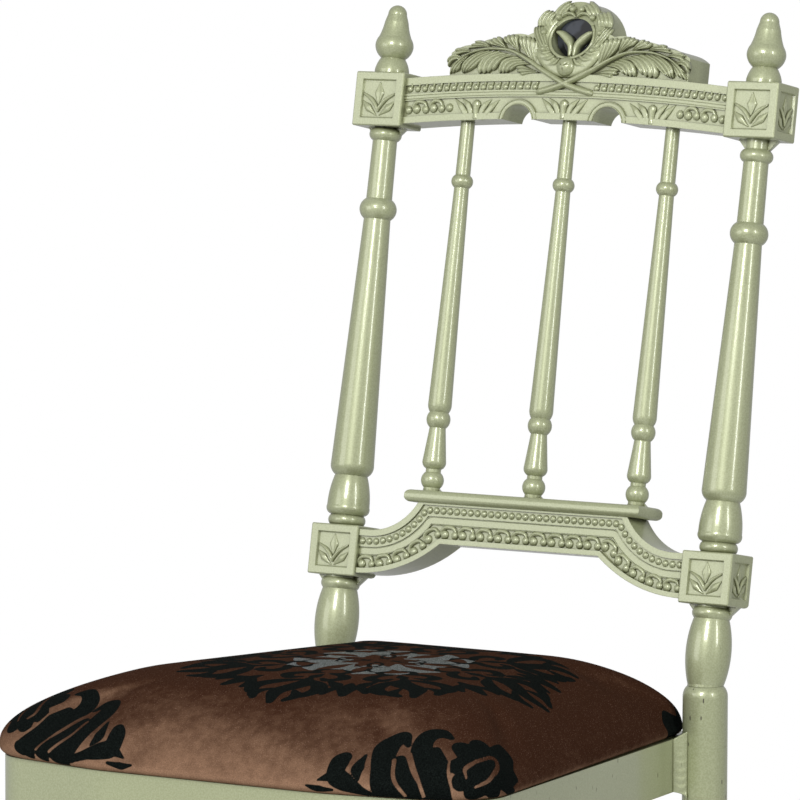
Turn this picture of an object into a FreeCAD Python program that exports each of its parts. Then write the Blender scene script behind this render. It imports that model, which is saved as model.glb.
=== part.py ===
"""Banquet chair: welded aluminium frame with turned posts and spindles, cast rails and a crowned seat.

Millimetres, +Z up, the chair faces -Y. The origin is on the floor, under the middle of the chair.
The back is drawn upright about the necks of the back legs and then leaned to its rake.
"""
import FreeCAD, Part
import math
import os

from FreeCAD import Vector

# Overall sizes
SEAT_WIDTH = 440.0           # across the front corners of the apron
SEAT_FLARE = 101.0           # how much wider the front corners are than the axes of the back legs
SEAT_DEPTH = 402.0           # axes of the back legs to the front of the apron
NECK_HEIGHT = 430.0          # floor to the bend where the back starts to lean
BACK_RAKE = 9.9              # degrees
LEG_SPACING = SEAT_WIDTH - SEAT_FLARE

# Fits
TENON_CLEARANCE = 0.2
SEAM_GAP = 0.3

# Back legs
LEG_RADIUS = 17.0
LEG_WALL = 2.5
LEG_PLUG = 26.0              # closed length under the neck
NECK_RADIUS = 13.5
SHOULDER_RISE = 8.0
SHOULDER_SWELL = 0.9         # how far the shoulder stands out from a plain cone
DOWEL_RADIUS = 6.0
DOWEL_IN_LEG = 20.0
DOWEL_IN_BALUSTER = 15.0

# Balusters between leg and lower block
BALUSTER_LENGTH = 60.0
BALUSTER_BELLY_RADIUS = 17.2
BALUSTER_BELLY_LENGTH = 50.0
BALUSTER_RING_RADIUS = 15.2
BALUSTER_RING_LENGTH = 8.6
BALUSTER_ROOT_RADIUS = 13.0

# Tenons of posts, balusters and finials, and the rails' tenons
TENON_RADIUS = 6.5
TENON_LENGTH = 10.0
RAIL_TENON_LENGTH = 8.0
RAIL_TENON_HEIGHT = 18.0
RAIL_TENON_THICKNESS = 12.0

# Cast blocks
LOWER_BLOCK_WIDTH = 44.0
LOWER_BLOCK_HEIGHT = 39.5
TOP_BLOCK_WIDTH = 45.0
TOP_BLOCK_HEIGHT = 42.5
BLOCK_DEPTH = 31.5
BLOCK_CHAMFER = 0.9
PANEL_BORDER_SIDE = 6.8
PANEL_BORDER_END = 6.0
PANEL_BEVEL = 0.9
PANEL_SINK = 2.0
HEEL_RADIUS = 6.0            # rounded lower rear edge of a lower block

# Back posts
POST_LENGTH = 312.5
POST_RING_RADIUS = 14.6
POST_RING_LENGTH = 8.0
BELL_LENGTH = 31.0
BELL_RADIUS = 16.6
BELL_RISE = 7.0
BELL_NECK_RADIUS = 12.8
COLUMN_FOOT_RADIUS = 16.9
COLUMN_FOOT_RISE = 9.0
COLUMN_TOP_RADIUS = 10.5
POST_BEAD_RADIUS = 14.6
POST_BEAD_LENGTH = 16.0
POST_BEAD_BELOW_TOP = 79.0
LEFT_BEAD_LIFT = 7.0         # bead and collar sit higher on the left post
SLIM_LOW_RADIUS = 10.2
SLIM_TOP_RADIUS = 9.6
COLLAR_RADIUS = 12.7
COLLAR_LENGTH = 10.0
POST_ROOT_RADIUS = 9.0
POST_ROOT_LENGTH = 7.2

# Finials
FINIAL_LENGTH = 54.5
FINIAL_BASE_RADIUS = 13.5
FINIAL_BASE_LENGTH = 3.0
FINIAL_BASE_SWELL = 0.5
FINIAL_NECK_RADIUS = 9.6
FINIAL_NECK_RISE = 12.4
FINIAL_BULGE_RADIUS = 15.0
FINIAL_BULGE_RISE = 21.9
FINIAL_BULGE_SWELL = 1.2
FINIAL_SHOULDER_RADIUS = 12.7
FINIAL_SHOULDER_RISE = 29.0
FINIAL_SHOULDER_SWELL = 0.6
FINIAL_CAP_RADIUS = 9.3
FINIAL_CAP_RISE = 41.0
FINIAL_CAP_HOLLOW = 0.4
FINIAL_TIP_RADIUS = 7.4

# Crest rail
CREST_SETBACK = 4.0          # block front to rail front
CREST_THICKNESS = 28.0
CREST_RISE = 2.6             # underside of the top block to underside of the rail
CREST_HEIGHT = 35.6
CREST_CAMBER = 6.8           # how far the rail arches up in its middle
CREST_FOOT_BAND = 5.3
CREST_FRIEZE = 12.2
CREST_MIDDLE_BAND = 5.6
CREST_BEAD_BAND = 6.5
BAND_SINK = 1.5
ARCH_OFFSET = 0.12 * LEG_SPACING     # middle of the rail to the middle of each arch
ARCH_RADIUS = 13.4
ARCH_RIM = 4.4
ARCH_DROP = 2.0              # centre of an arch below the underside of the rail

# Cresting and medallion on the rail
CRESTING_SETBACK = 2.0       # rail front to cresting front
CRESTING_HALF_WIDTH = 0.32 * LEG_SPACING
CRESTING_END_HEIGHT = 18.0
CRESTING_REAR_STEP = 3.5     # how far the cresting stands out behind the rail
CRESTING_HEIGHT = 31.0
CRESTING_LOBES = 4
LOBE_SWELL = 2.4
MEDALLION_RADIUS = 32.8
MEDALLION_RISE = 24.6        # rail top to the middle of the medallion
MEDALLION_RIM = 2.2          # how far the wreath stands forward of the cresting
MEDALLION_LEAN = 14.0        # degrees by which its face leans back above the rosette
OPENING_HALF_WIDTH = 18.4
OPENING_HALF_HEIGHT = 15.5
OPENING_RISE = 4.0           # middle of the medallion to the middle of its opening
POCKET_DEPTH = 14.0
INLAY_THICKNESS = 2.5
TULIP_THICKNESS = 3.5
TULIP_BAND = 2.0

# Lower back rail and the bar on it
LOWER_RAIL_SETBACK = 2.0
LOWER_RAIL_THICKNESS = 30.0
LOWER_RAIL_RISE = 3.0        # underside of the lower block to underside of the rail
LOWER_RAIL_END_HEIGHT = 34.0
LOWER_RAIL_MIDDLE_HEIGHT = 31.0
ARCH_LIFT = 27.0             # rail underside at the blocks to its straight middle
ARCH_FLAT = 0.424 * LEG_SPACING      # length of the straight middle
RAIL_SHOULDER_RADIUS = 50.0  # hollow curve of the top edge on both sides of the bar
RAIL_LAND = 9.5              # straight top edge between block and hollow curve
RAIL_CARVING_LIFT = 3.4      # how far the carved bands crowd up under the bar
RAIL_TOP_BAND = 5.0
RAIL_BEAD_BAND = 8.5
RAIL_MIDDLE_BAND = 5.7
RAIL_FOOT_BAND = 4.0
RAIL_MIDDLE_SINK = 2.3       # rail front to the face of the middle band
RAIL_FRIEZE_SINK = 3.1
BAR_LENGTH = 0.63 * LEG_SPACING
BAR_HEIGHT = 9.5
BAR_FRONT_OVERHANG = 3.5
BAR_REAR_OVERHANG = 1.0
BAR_NOSE = 4.0

# Spindles
SPINDLE_PITCH = 0.2755 * LEG_SPACING
SPINDLE_SIDES = (("left", -1), ("middle", 0), ("right", 1))
SPINDLE_TENON_RADIUS = 4.0
SPINDLE_TENON_LENGTH = 7.0
SPINDLE_ROOT_RADIUS = 6.5
SPINDLE_ROOT_LENGTH = 3.0
SPINDLE_BALL_RADIUS = 8.9
SPINDLE_BALL_LENGTH = 12.0
SPINDLE_NECK_RADIUS = 5.9
SPINDLE_NECK_LENGTH = 2.5
SPINDLE_BELL_RADIUS = 9.2
SPINDLE_BELL_RISE = 6.0
SPINDLE_BELL_LENGTH = 32.0
SPINDLE_BELL_TOP_RADIUS = 6.3
SPINDLE_UPPER_BALL_RADIUS = 9.3
SPINDLE_UPPER_BALL_LENGTH = 12.0
SPINDLE_WAIST_RADIUS = 7.4
SPINDLE_FOOT_RADIUS = 9.2
SPINDLE_FOOT_RISE = 7.0
SPINDLE_TOP_RADIUS = 5.8
SPINDLE_RING_RADIUS = 8.5
SPINDLE_RING_LENGTH = 10.0
SPINDLE_RING_BELOW_TOP = 47.4
SPINDLE_END_RADIUS = 5.5

# Seat rails
APRON_DROP = 39.0            # neck to the top of the rails
APRON_HEIGHT = 40.0
APRON_THICKNESS = 20.0
APRON_WALL = 2.0
BOW_FLAT = 200.0             # straight middle of the front
BOW_DEPTH = 24.0             # front corners behind the middle of the front
BOW_BEND_RADIUS = 160.0
FRONT_CORNER_RADIUS = 40.0
REAR_CORNER_RADIUS = 14.0
RAIL_BEHIND_LEGS = 20.0      # axes of the back legs to the rear of the rear rail
SPLIT_BEHIND_CORNER = 50.0   # seam between front and side rail, from the front corner

# Cushion
BOARD_THICKNESS = 10.0
BOARD_CLEARANCE = 0.6        # board edge to the inside of the cover
CUSHION_OVERHANG = 6.5
CUSHION_LEG_GAP = 0.8
CUSHION_REAR = 16.0          # axes of the back legs to the rear of the cushion
CUSHION_CORNER_RADIUS = 46.0
CUSHION_REAR_RADIUS = 20.0
CUSHION_CROWN = 61.0
TUCK_HEIGHT = 4.0
TUCK_INSET = 6.5             # drawn-in lower edge, from the widest line
BULGE_HEIGHT = 9.0
CROWN_RINGS = 9
CROWN_TOP_INSET = 168.0
COVER_THICKNESS = 1.6
CLOTH_THICKNESS = 0.6

# Plates, tabs and screws under the seat
LEG_PLATE_REACH = 62.0
LEG_PLATE_THICKNESS = 4.0
TAB_LENGTH = 34.0
TAB_REACH = 24.0
TAB_THICKNESS = 3.0
TAB_SHARES = (0.7, 0.19)     # of the seat depth, forward of the back legs
SCREW_RADIUS = 2.0
SCREW_HEAD_RADIUS = 4.0
SCREW_HEAD_HEIGHT = 2.4
SCREW_IN_BOARD = 7.5

# Front legs
FRONT_LEG_INSET = 34.0
FRONT_LEG_HEAD_RADIUS = 17.0
FRONT_LEG_HEAD_LENGTH = 24.0
FRONT_LEG_NECK_RADIUS = 12.0
FRONT_LEG_RING_RADIUS = 16.5
FRONT_LEG_RING_LENGTH = 14.0
FRONT_LEG_SHOULDER_RADIUS = 15.8
FRONT_LEG_SHOULDER_RISE = 8.0
FRONT_LEG_ANKLE_RADIUS = 10.2
FRONT_LEG_BEAD_RADIUS = 13.4
FRONT_LEG_BEAD_LENGTH = 12.0
FRONT_LEG_FOOT_RADIUS = 12.0
FRONT_LEG_FOOT_LENGTH = 28.0
FRONT_LEG_TOE_RADIUS = 9.0
STUD_RADIUS = 4.0

# Stretchers and glides
STRETCHER_RADIUS = 8.0
STRETCHER_WALL = 1.8
SIDE_STRETCHER_HEIGHT = 165.0
CROSS_STRETCHER_HEIGHT = 205.0
GLIDE_HEIGHT = 5.0
GLIDE_CHAMFER = 1.2
GLIDE_PLUG_LENGTH = 14.0
GLIDE_PIN_RADIUS = 3.0

# Welds
POST_WELD_REACH = 8.0        # along the underside of a block
POST_WELD_DROP = 9.0         # down the turned piece
SPINDLE_WELD_LEG = 2.6
LEG_WELD_RADIUS = 6.5
LEG_WELD_OFFSET = 12.0       # along the side rail, forward of the leg

# Levels up the back, measured from the necks before the back is leaned
LOWER_BLOCK_BASE = BALUSTER_LENGTH
POST_BASE = LOWER_BLOCK_BASE + LOWER_BLOCK_HEIGHT
TOP_BLOCK_BASE = POST_BASE + POST_LENGTH
FINIAL_BASE = TOP_BLOCK_BASE + TOP_BLOCK_HEIGHT
CREST_BASE = TOP_BLOCK_BASE + CREST_RISE
CREST_TOP = CREST_BASE + CREST_HEIGHT
CREST_CROWN = CREST_TOP + CREST_CAMBER
MEDALLION_MIDDLE = CREST_CROWN + MEDALLION_RISE
BACK_TOP = MEDALLION_MIDDLE + MEDALLION_RADIUS
LOWER_RAIL_BASE = LOWER_BLOCK_BASE + LOWER_RAIL_RISE
BAR_BASE = LOWER_RAIL_BASE + ARCH_LIFT + LOWER_RAIL_MIDDLE_HEIGHT
SPINDLE_BASE = BAR_BASE + BAR_HEIGHT
SPINDLE_LENGTH = CREST_BASE - SPINDLE_BASE    # under an uncambered rail

# Depths of the back, negative towards the sitter's side
BLOCK_FRONT = -BLOCK_DEPTH / 2
CREST_FRONT = BLOCK_FRONT + CREST_SETBACK
CREST_REAR = CREST_FRONT + CREST_THICKNESS
CRESTING_FRONT = CREST_FRONT + CRESTING_SETBACK
CRESTING_REAR = CREST_REAR + CRESTING_REAR_STEP
LOWER_RAIL_FRONT = BLOCK_FRONT + LOWER_RAIL_SETBACK
LOWER_RAIL_REAR = LOWER_RAIL_FRONT + LOWER_RAIL_THICKNESS

# Levels of the seat
APRON_TOP = NECK_HEIGHT - APRON_DROP
APRON_BASE = APRON_TOP - APRON_HEIGHT

# The axes of the back legs lie so that the chair's depth is halved by the origin
RAKE = math.radians(BACK_RAKE)
REAR_REACH = BACK_TOP * math.sin(RAKE) + CRESTING_REAR * math.cos(RAKE)
LEG_X = LEG_SPACING / 2
LEG_Y = (SEAT_DEPTH + CUSHION_OVERHANG - REAR_REACH) / 2

UP = Vector(0, 0, 1)
RIGHT = Vector(1, 0, 0)
BACK = Vector(0, 1, 0)
SIDES = (("left", -1), ("right", 1))


# Drawing helpers

class Turning:
    """Half outline of a turned piece, drawn upwards as radius against height."""

    def __init__(self, radius, height):
        self.start = Vector(radius, 0, height)
        self.here = self.start
        self.edges = []

    def line(self, radius, height):
        end = Vector(radius, 0, height)
        self.edges.append(Part.LineSegment(self.here, end).toShape())
        self.here = end
        return self

    def arc(self, middle, radius, height):
        end = Vector(radius, 0, height)
        self.edges.append(Part.Arc(self.here, Vector(middle[0], 0, middle[1]), end).toShape())
        self.here = end
        return self

    def bead(self, widest, radius, height):
        """A round moulding whose fullest radius is half way up."""
        return self.arc((widest, (self.here.z + height) / 2), radius, height)

    def bow(self, swell, radius, height):
        """A curve that stands out from the straight line by the swell, or in for a negative one."""
        chord = Vector(radius, 0, height) - self.here
        normal = Vector(chord.z, 0, -chord.x).normalize()
        middle = self.here + chord / 2 + normal * swell
        return self.arc((middle.x, middle.z), radius, height)

    def solid(self):
        foot = Vector(0, 0, self.start.z)
        head = Vector(0, 0, self.here.z)
        closing = [(self.here, head), (head, foot), (foot, self.start)]
        lines = [Part.LineSegment(a, b).toShape() for a, b in closing if a.distanceToPoint(b) > 0]
        face = Part.Face(Part.Wire(self.edges + lines))
        return face.revolve(Vector(0, 0, 0), UP, 360)


def box(low, high):
    size = Vector(*high) - Vector(*low)
    return Part.makeBox(size.x, size.y, size.z, Vector(*low))


def cylinder(radius, low, high, x=0.0, y=0.0):
    return Part.makeCylinder(radius, high - low, Vector(x, y, low))


def bore_along_back(radius, front, rear, x, z):
    """A cylinder that runs from front to rear through the upright back."""
    return Part.makeCylinder(radius, rear - front, Vector(x, front, z), BACK)


def at(shape, x, y, z):
    return shape.translated(Vector(x, y, z))


def mirrored(shape, sign):
    """The right-hand piece, or its mirror image for the left."""
    if sign > 0:
        return shape
    return shape.mirror(Vector(0, 0, 0), RIGHT)


def leaned(shape):
    """Moves a piece of the upright back to its rake over the necks of the legs."""
    turned = shape.copy()
    turned.rotate(Vector(0, 0, 0), RIGHT, -BACK_RAKE)
    return at(turned, 0, LEG_Y, NECK_HEIGHT)


def front_wire(edges):
    return Part.Wire(Part.__sortEdges__(edges))


def plate_between(wire, front, rear):
    """Extrudes an outline, drawn in the plane of the back, from front to rear."""
    face = Part.Face(wire)
    return at(face.extrude(BACK * (rear - front)), 0, front, 0)


def save(name, shape):
    shape.exportStep("parts/" + name + ".step")


# Outlines in plan

def inset_corners(corners, inset):
    """Moves each side of a convex outline inwards and returns the new corners."""
    count = len(corners)
    moved = []
    for i in range(count):
        before, here, after = corners[i - 1], corners[i], corners[(i + 1) % count]
        into = (here - before).normalize()
        out = (after - here).normalize()
        left_in = Vector(-into.y, into.x, 0)
        left_out = Vector(-out.y, out.x, 0)
        moved.append(here + (left_in + left_out) * (inset / (1 + left_in.dot(left_out))))
    return moved


def rounded_wire(corners, radii, height):
    """A closed outline of straight sides and tangent arcs."""
    count = len(corners)
    starts, middles, ends = [], [], []
    for i in range(count):
        here = corners[i]
        back_side = (corners[i - 1] - here).normalize()
        next_side = (corners[(i + 1) % count] - here).normalize()
        half = back_side.getAngle(next_side) / 2
        reach = radii[i] / math.tan(half)
        inward = (back_side + next_side).normalize()
        starts.append(here + back_side * reach)
        ends.append(here + next_side * reach)
        middles.append(here + inward * (radii[i] / math.sin(half) - radii[i]))
    lift = Vector(0, 0, height)
    edges = []
    for i in range(count):
        edges.append(Part.Arc(starts[i] + lift, middles[i] + lift, ends[i] + lift).toShape())
        edges.append(Part.LineSegment(ends[i] + lift, starts[(i + 1) % count] + lift).toShape())
    return Part.Wire(edges)


def seat_corners(overhang, leg_gap, rear):
    """Corners of the seat in plan: a bowed front and sides that pass just inside the back legs."""
    corner_x = SEAT_WIDTH / 2 + overhang
    corner_y = LEG_Y - SEAT_DEPTH + BOW_DEPTH - overhang
    front_y = LEG_Y - SEAT_DEPTH - overhang
    across, along = corner_x - LEG_X, LEG_Y - corner_y
    to_leg = math.hypot(across, along)
    taper = math.tan(math.atan2(across, along) + math.asin((LEG_RADIUS + leg_gap) / to_leg))
    rear_y = LEG_Y + rear
    rear_x = corner_x - (rear_y - corner_y) * taper
    right = [Vector(BOW_FLAT / 2, front_y), Vector(corner_x, corner_y), Vector(rear_x, rear_y)]
    left = [Vector(-point.x, point.y) for point in reversed(right)]
    return right + left


def rail_prism(inset, low, high):
    """The seat rails' outline, set in from the outer faces, as a solid block."""
    corners = inset_corners(seat_corners(0, SEAM_GAP, RAIL_BEHIND_LEGS), inset)
    bends = [BOW_BEND_RADIUS - inset, FRONT_CORNER_RADIUS - inset, REAR_CORNER_RADIUS - inset]
    radii = [max(bend, APRON_WALL) for bend in bends]
    wire = rounded_wire(corners, radii + radii[::-1], low)
    return Part.Face(wire).extrude(UP * (high - low))


# Back legs, balusters and dowels

def back_leg_envelope():
    outline = Turning(LEG_RADIUS, GLIDE_HEIGHT).line(LEG_RADIUS, NECK_HEIGHT - SHOULDER_RISE)
    return outline.bow(SHOULDER_SWELL, NECK_RADIUS, NECK_HEIGHT).solid()


def back_leg():
    bore = cylinder(LEG_RADIUS - LEG_WALL, GLIDE_HEIGHT, NECK_HEIGHT - LEG_PLUG)
    return back_leg_envelope().cut(bore).cut(neck_dowel(TENON_CLEARANCE))


def neck_dowel(clearance):
    low = NECK_HEIGHT - DOWEL_IN_LEG - clearance
    return cylinder(DOWEL_RADIUS + clearance, low, NECK_HEIGHT + DOWEL_IN_BALUSTER + clearance)


def baluster_turning():
    root = BALUSTER_LENGTH - BALUSTER_BELLY_LENGTH - BALUSTER_RING_LENGTH
    ring_base = BALUSTER_BELLY_LENGTH
    ring_top = ring_base + BALUSTER_RING_LENGTH
    outline = Turning(NECK_RADIUS, -NECK_RADIUS * math.tan(RAKE) - SEAM_GAP)
    outline.line(NECK_RADIUS, 0).bead(BALUSTER_BELLY_RADIUS, NECK_RADIUS, ring_base)
    outline.bead(BALUSTER_RING_RADIUS, BALUSTER_ROOT_RADIUS, ring_top)
    outline.line(BALUSTER_ROOT_RADIUS, ring_top + root)
    outline.line(TENON_RADIUS, BALUSTER_LENGTH).line(TENON_RADIUS, BALUSTER_LENGTH + TENON_LENGTH)
    return outline.solid()


def baluster():
    """The vase turning, leaned with the back and cut level where it stands on the leg."""
    vase = leaned(baluster_turning())
    below = cylinder(2 * LEG_RADIUS, NECK_HEIGHT - 2 * LEG_RADIUS, NECK_HEIGHT, 0, LEG_Y)
    return vase.cut(below).cut(at(neck_dowel(TENON_CLEARANCE), 0, LEG_Y, 0))


# Cast blocks at both ends of the back posts

def panel_cut(width, height):
    """A sunk panel with bevelled sides, drawn on a face that looks towards -Y."""
    rings = []
    for inset, depth in ((0, 0), (PANEL_BEVEL, PANEL_SINK)):
        x, z = width / 2 - inset, height / 2 - inset
        points = [Vector(-x, depth, -z), Vector(x, depth, -z), Vector(x, depth, z), Vector(-x, depth, z)]
        rings.append(Part.makePolygon(points + points[:1]))
    return Part.makeLoft(rings, True, True)


def block(width, height, heel):
    """A right-hand block standing on the post's axis, with its mortise towards the rail."""
    half = width / 2
    body = box((-half, -BLOCK_DEPTH / 2, 0), (half, BLOCK_DEPTH / 2, height))
    body = body.makeChamfer(BLOCK_CHAMFER, body.Edges)
    if heel:
        edge = bore_along_x(HEEL_RADIUS, -half, half, BLOCK_DEPTH / 2 - HEEL_RADIUS, HEEL_RADIUS)
        corner = box((-half, BLOCK_DEPTH / 2 - HEEL_RADIUS, 0), (half, BLOCK_DEPTH / 2, HEEL_RADIUS))
        body = body.cut(corner.cut(edge))
    front = panel_cut(width - 2 * PANEL_BORDER_SIDE, height - 2 * PANEL_BORDER_END)
    narrow_border = PANEL_BORDER_SIDE * BLOCK_DEPTH / width
    side = panel_cut(BLOCK_DEPTH - 2 * narrow_border, height - 2 * PANEL_BORDER_END)
    rear = front.copy()
    rear.rotate(Vector(0, 0, 0), UP, 180)
    side.rotate(Vector(0, 0, 0), UP, 90)
    body = body.cut(at(front, 0, -BLOCK_DEPTH / 2, height / 2))
    body = body.cut(at(rear, 0, BLOCK_DEPTH / 2, height / 2))
    body = body.cut(at(side, half, 0, height / 2))
    socket = TENON_LENGTH + TENON_CLEARANCE
    for low, high in ((0, socket), (height - socket, height)):
        body = body.cut(cylinder(TENON_RADIUS + TENON_CLEARANCE, low, high))
    return body


def bore_along_x(radius, low, high, y, z):
    return Part.makeCylinder(radius, high - low, Vector(low, y, z), RIGHT)


def rail_tenon(face_x, middle_y, middle_z, clearance):
    """The tongue at a rail's right end, which enters the block beyond it."""
    y = RAIL_TENON_THICKNESS / 2 + clearance
    z = RAIL_TENON_HEIGHT / 2 + clearance
    low = (face_x, middle_y - y, middle_z - z)
    return box(low, (face_x + RAIL_TENON_LENGTH + clearance, middle_y + y, middle_z + z))


def lower_rail_tenon(clearance):
    middle_y = (LOWER_RAIL_FRONT + LOWER_RAIL_REAR) / 2
    middle_z = LOWER_RAIL_BASE + LOWER_RAIL_END_HEIGHT / 2
    return rail_tenon(LEG_X - LOWER_BLOCK_WIDTH / 2, middle_y, middle_z, clearance)


def crest_tenon(clearance):
    middle_y = (CREST_FRONT + CREST_REAR) / 2
    return rail_tenon(LEG_X - TOP_BLOCK_WIDTH / 2, middle_y, CREST_BASE + CREST_HEIGHT / 2, clearance)


def lower_block():
    body = at(block(LOWER_BLOCK_WIDTH, LOWER_BLOCK_HEIGHT, True), LEG_X, 0, LOWER_BLOCK_BASE)
    return body.cut(lower_rail_tenon(TENON_CLEARANCE))


def top_block():
    body = at(block(TOP_BLOCK_WIDTH, TOP_BLOCK_HEIGHT, False), LEG_X, 0, TOP_BLOCK_BASE)
    return body.cut(crest_tenon(TENON_CLEARANCE))


# Turned posts and finials

def bead_lift(sign):
    return 0 if sign > 0 else LEFT_BEAD_LIFT


def back_post(lift):
    """From the lower block up: ring, bell, tapered column, bead, slim neck and collar.

    The lift moves the bead and the collar up.
    """
    bell_top = POST_RING_LENGTH + BELL_LENGTH
    foot = bell_top + COLUMN_FOOT_RISE
    bead_base = POST_LENGTH - POST_BEAD_BELOW_TOP + lift
    collar_top = POST_LENGTH - POST_ROOT_LENGTH + lift
    collar_base = collar_top - COLLAR_LENGTH
    outline = Turning(TENON_RADIUS, -TENON_LENGTH).line(TENON_RADIUS, 0).line(BELL_NECK_RADIUS, 0)
    outline.bead(POST_RING_RADIUS, BELL_NECK_RADIUS, POST_RING_LENGTH)
    outline.bow(POST_RING_RADIUS - BELL_NECK_RADIUS, BELL_RADIUS, POST_RING_LENGTH + BELL_RISE)
    outline.bow((BELL_RADIUS - BELL_NECK_RADIUS) / 4, BELL_NECK_RADIUS, bell_top)
    outline.bow((COLUMN_FOOT_RADIUS - BELL_NECK_RADIUS) / 3, COLUMN_FOOT_RADIUS, foot)
    outline.line(COLUMN_TOP_RADIUS, bead_base)
    outline.bead(POST_BEAD_RADIUS, SLIM_LOW_RADIUS, bead_base + POST_BEAD_LENGTH)
    outline.line(SLIM_TOP_RADIUS, collar_base)
    outline.bead(COLLAR_RADIUS, POST_ROOT_RADIUS, collar_top)
    outline.line(POST_ROOT_RADIUS, POST_LENGTH).line(TENON_RADIUS, POST_LENGTH)
    outline.line(TENON_RADIUS, POST_LENGTH + TENON_LENGTH)
    return at(outline.solid(), LEG_X, 0, POST_BASE)


def finial():
    """A turned knob: flared base, drawn-in neck, full bulge and a bell-shaped cap with a round tip."""
    tip = FINIAL_LENGTH - FINIAL_TIP_RADIUS
    outline = Turning(TENON_RADIUS, -TENON_LENGTH).line(TENON_RADIUS, 0)
    outline.line(FINIAL_BASE_RADIUS, 0).line(FINIAL_BASE_RADIUS, FINIAL_BASE_LENGTH)
    outline.bow(FINIAL_BASE_SWELL, FINIAL_NECK_RADIUS, FINIAL_NECK_RISE)
    outline.bow(FINIAL_BULGE_SWELL, FINIAL_BULGE_RADIUS, FINIAL_BULGE_RISE)
    outline.bow(FINIAL_SHOULDER_SWELL, FINIAL_SHOULDER_RADIUS, FINIAL_SHOULDER_RISE)
    outline.bow(-FINIAL_CAP_HOLLOW, FINIAL_CAP_RADIUS, FINIAL_CAP_RISE)
    outline.line(FINIAL_TIP_RADIUS, tip)
    half_turn = math.sqrt(0.5) * FINIAL_TIP_RADIUS
    outline.arc((half_turn, tip + half_turn), 0, FINIAL_LENGTH)
    return at(outline.solid(), LEG_X, 0, FINIAL_BASE)


# Crest rail with its arches, cresting and medallion

CREST_HALF = LEG_X - TOP_BLOCK_WIDTH / 2
CAMBER_RADIUS = (CREST_HALF ** 2 + CREST_CAMBER ** 2) / (2 * CREST_CAMBER)
CAMBER_CENTRE = CREST_BASE + CREST_CAMBER - CAMBER_RADIUS


def camber(x):
    """How far the rail has risen at a distance from the middle."""
    return math.sqrt(CAMBER_RADIUS ** 2 - x ** 2) + CAMBER_CENTRE - CREST_BASE


def cambered_bar(section):
    """Sweeps a section along the rail's shallow arch and cuts it upright at the blocks.

    The section gives depth and height above the rail's underside.
    """
    points = [Vector(0, depth, CREST_BASE + CREST_CAMBER + height) for depth, height in section]
    face = Part.Face(Part.makePolygon(points + points[:1]))
    reach = 2 * math.degrees(math.asin(CREST_HALF / CAMBER_RADIUS))
    centre = Vector(0, 0, CAMBER_CENTRE)
    face.rotate(centre, BACK, -reach)
    bar = face.revolve(centre, BACK, 2 * reach)
    return bar.common(box((-CREST_HALF, CREST_FRONT, CREST_BASE - CREST_HEIGHT),
                          (CREST_HALF, CREST_REAR, CREST_TOP + CREST_HEIGHT)))


def crest_moulding():
    """The rail with a sunk frieze and a sunk bead channel."""
    steps = [CREST_FOOT_BAND, CREST_FRIEZE, CREST_MIDDLE_BAND, CREST_BEAD_BAND]
    section = [(CREST_REAR, 0), (CREST_FRONT, 0)]
    level = 0
    for i, step in enumerate(steps):
        level += step
        sunk = i % 2 == 1
        depths = (CREST_FRONT + BAND_SINK, CREST_FRONT) if sunk else (CREST_FRONT, CREST_FRONT + BAND_SINK)
        section += [(depth, level) for depth in depths]
    section += [(CREST_FRONT, CREST_HEIGHT), (CREST_REAR, CREST_HEIGHT)]
    return cambered_bar(section)


def crest_arches(rail):
    """Opens the two arches and puts a raised rim round each."""
    rear = CREST_FRONT + 2 * BAND_SINK
    skin = [(CREST_FRONT, 0), (rear, 0), (rear, CREST_HEIGHT), (CREST_FRONT, CREST_HEIGHT)]
    front_skin = cambered_bar(skin)
    places = [(x, CREST_BASE + camber(x) - ARCH_DROP) for x in (-ARCH_OFFSET, ARCH_OFFSET)]
    for x, z in places:
        rim = bore_along_back(ARCH_RADIUS + ARCH_RIM, CREST_FRONT, rear, x, z)
        rail = rail.fuse(rim.common(front_skin))
    for x, z in places:
        rail = rail.cut(bore_along_back(ARCH_RADIUS, CREST_FRONT, CREST_REAR, x, z))
    return rail.removeSplitter()


def cresting():
    """The carved crest's body: lobed branches that climb towards the round medallion."""
    inner_x = MEDALLION_RADIUS / 2
    half = CRESTING_HALF_WIDTH
    points = []
    for i in range(CRESTING_LOBES + 1):
        share = i / CRESTING_LOBES
        rise = CRESTING_HEIGHT - CRESTING_END_HEIGHT
        x = half + (inner_x - half) * share
        height = CRESTING_END_HEIGHT + rise * math.sin(share * math.pi / 2)
        points.append(Vector(x, 0, CREST_TOP + camber(x) + height))
    edges = [Part.LineSegment(Vector(half, 0, CREST_TOP), points[0]).toShape()]
    for low, high in zip(points, points[1:]):
        chord = high - low
        outward = Vector(chord.z, 0, -chord.x).normalize()
        middle = low + chord / 2 + outward * LOBE_SWELL
        edges.append(Part.Arc(low, middle, high).toShape())
    foot = Vector(inner_x, 0, CREST_TOP)
    edges.append(Part.LineSegment(points[-1], foot).toShape())
    edges.append(Part.LineSegment(foot, Vector(half, 0, CREST_TOP)).toShape())
    branch = plate_between(Part.Wire(edges), CRESTING_FRONT, CRESTING_REAR)
    front = CRESTING_FRONT - MEDALLION_RIM
    disc = bore_along_back(MEDALLION_RADIUS, front, CRESTING_REAR, 0, MEDALLION_MIDDLE)
    rail_below = box((-half, front, CREST_BASE), (half, CRESTING_REAR, CREST_CROWN))
    web = box((-inner_x, CRESTING_FRONT, CREST_TOP), (inner_x, CRESTING_REAR, MEDALLION_MIDDLE))
    return branch.fuse([mirrored(branch, -1), web, disc.cut(rail_below)]).cut(medallion_face_cut())


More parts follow.
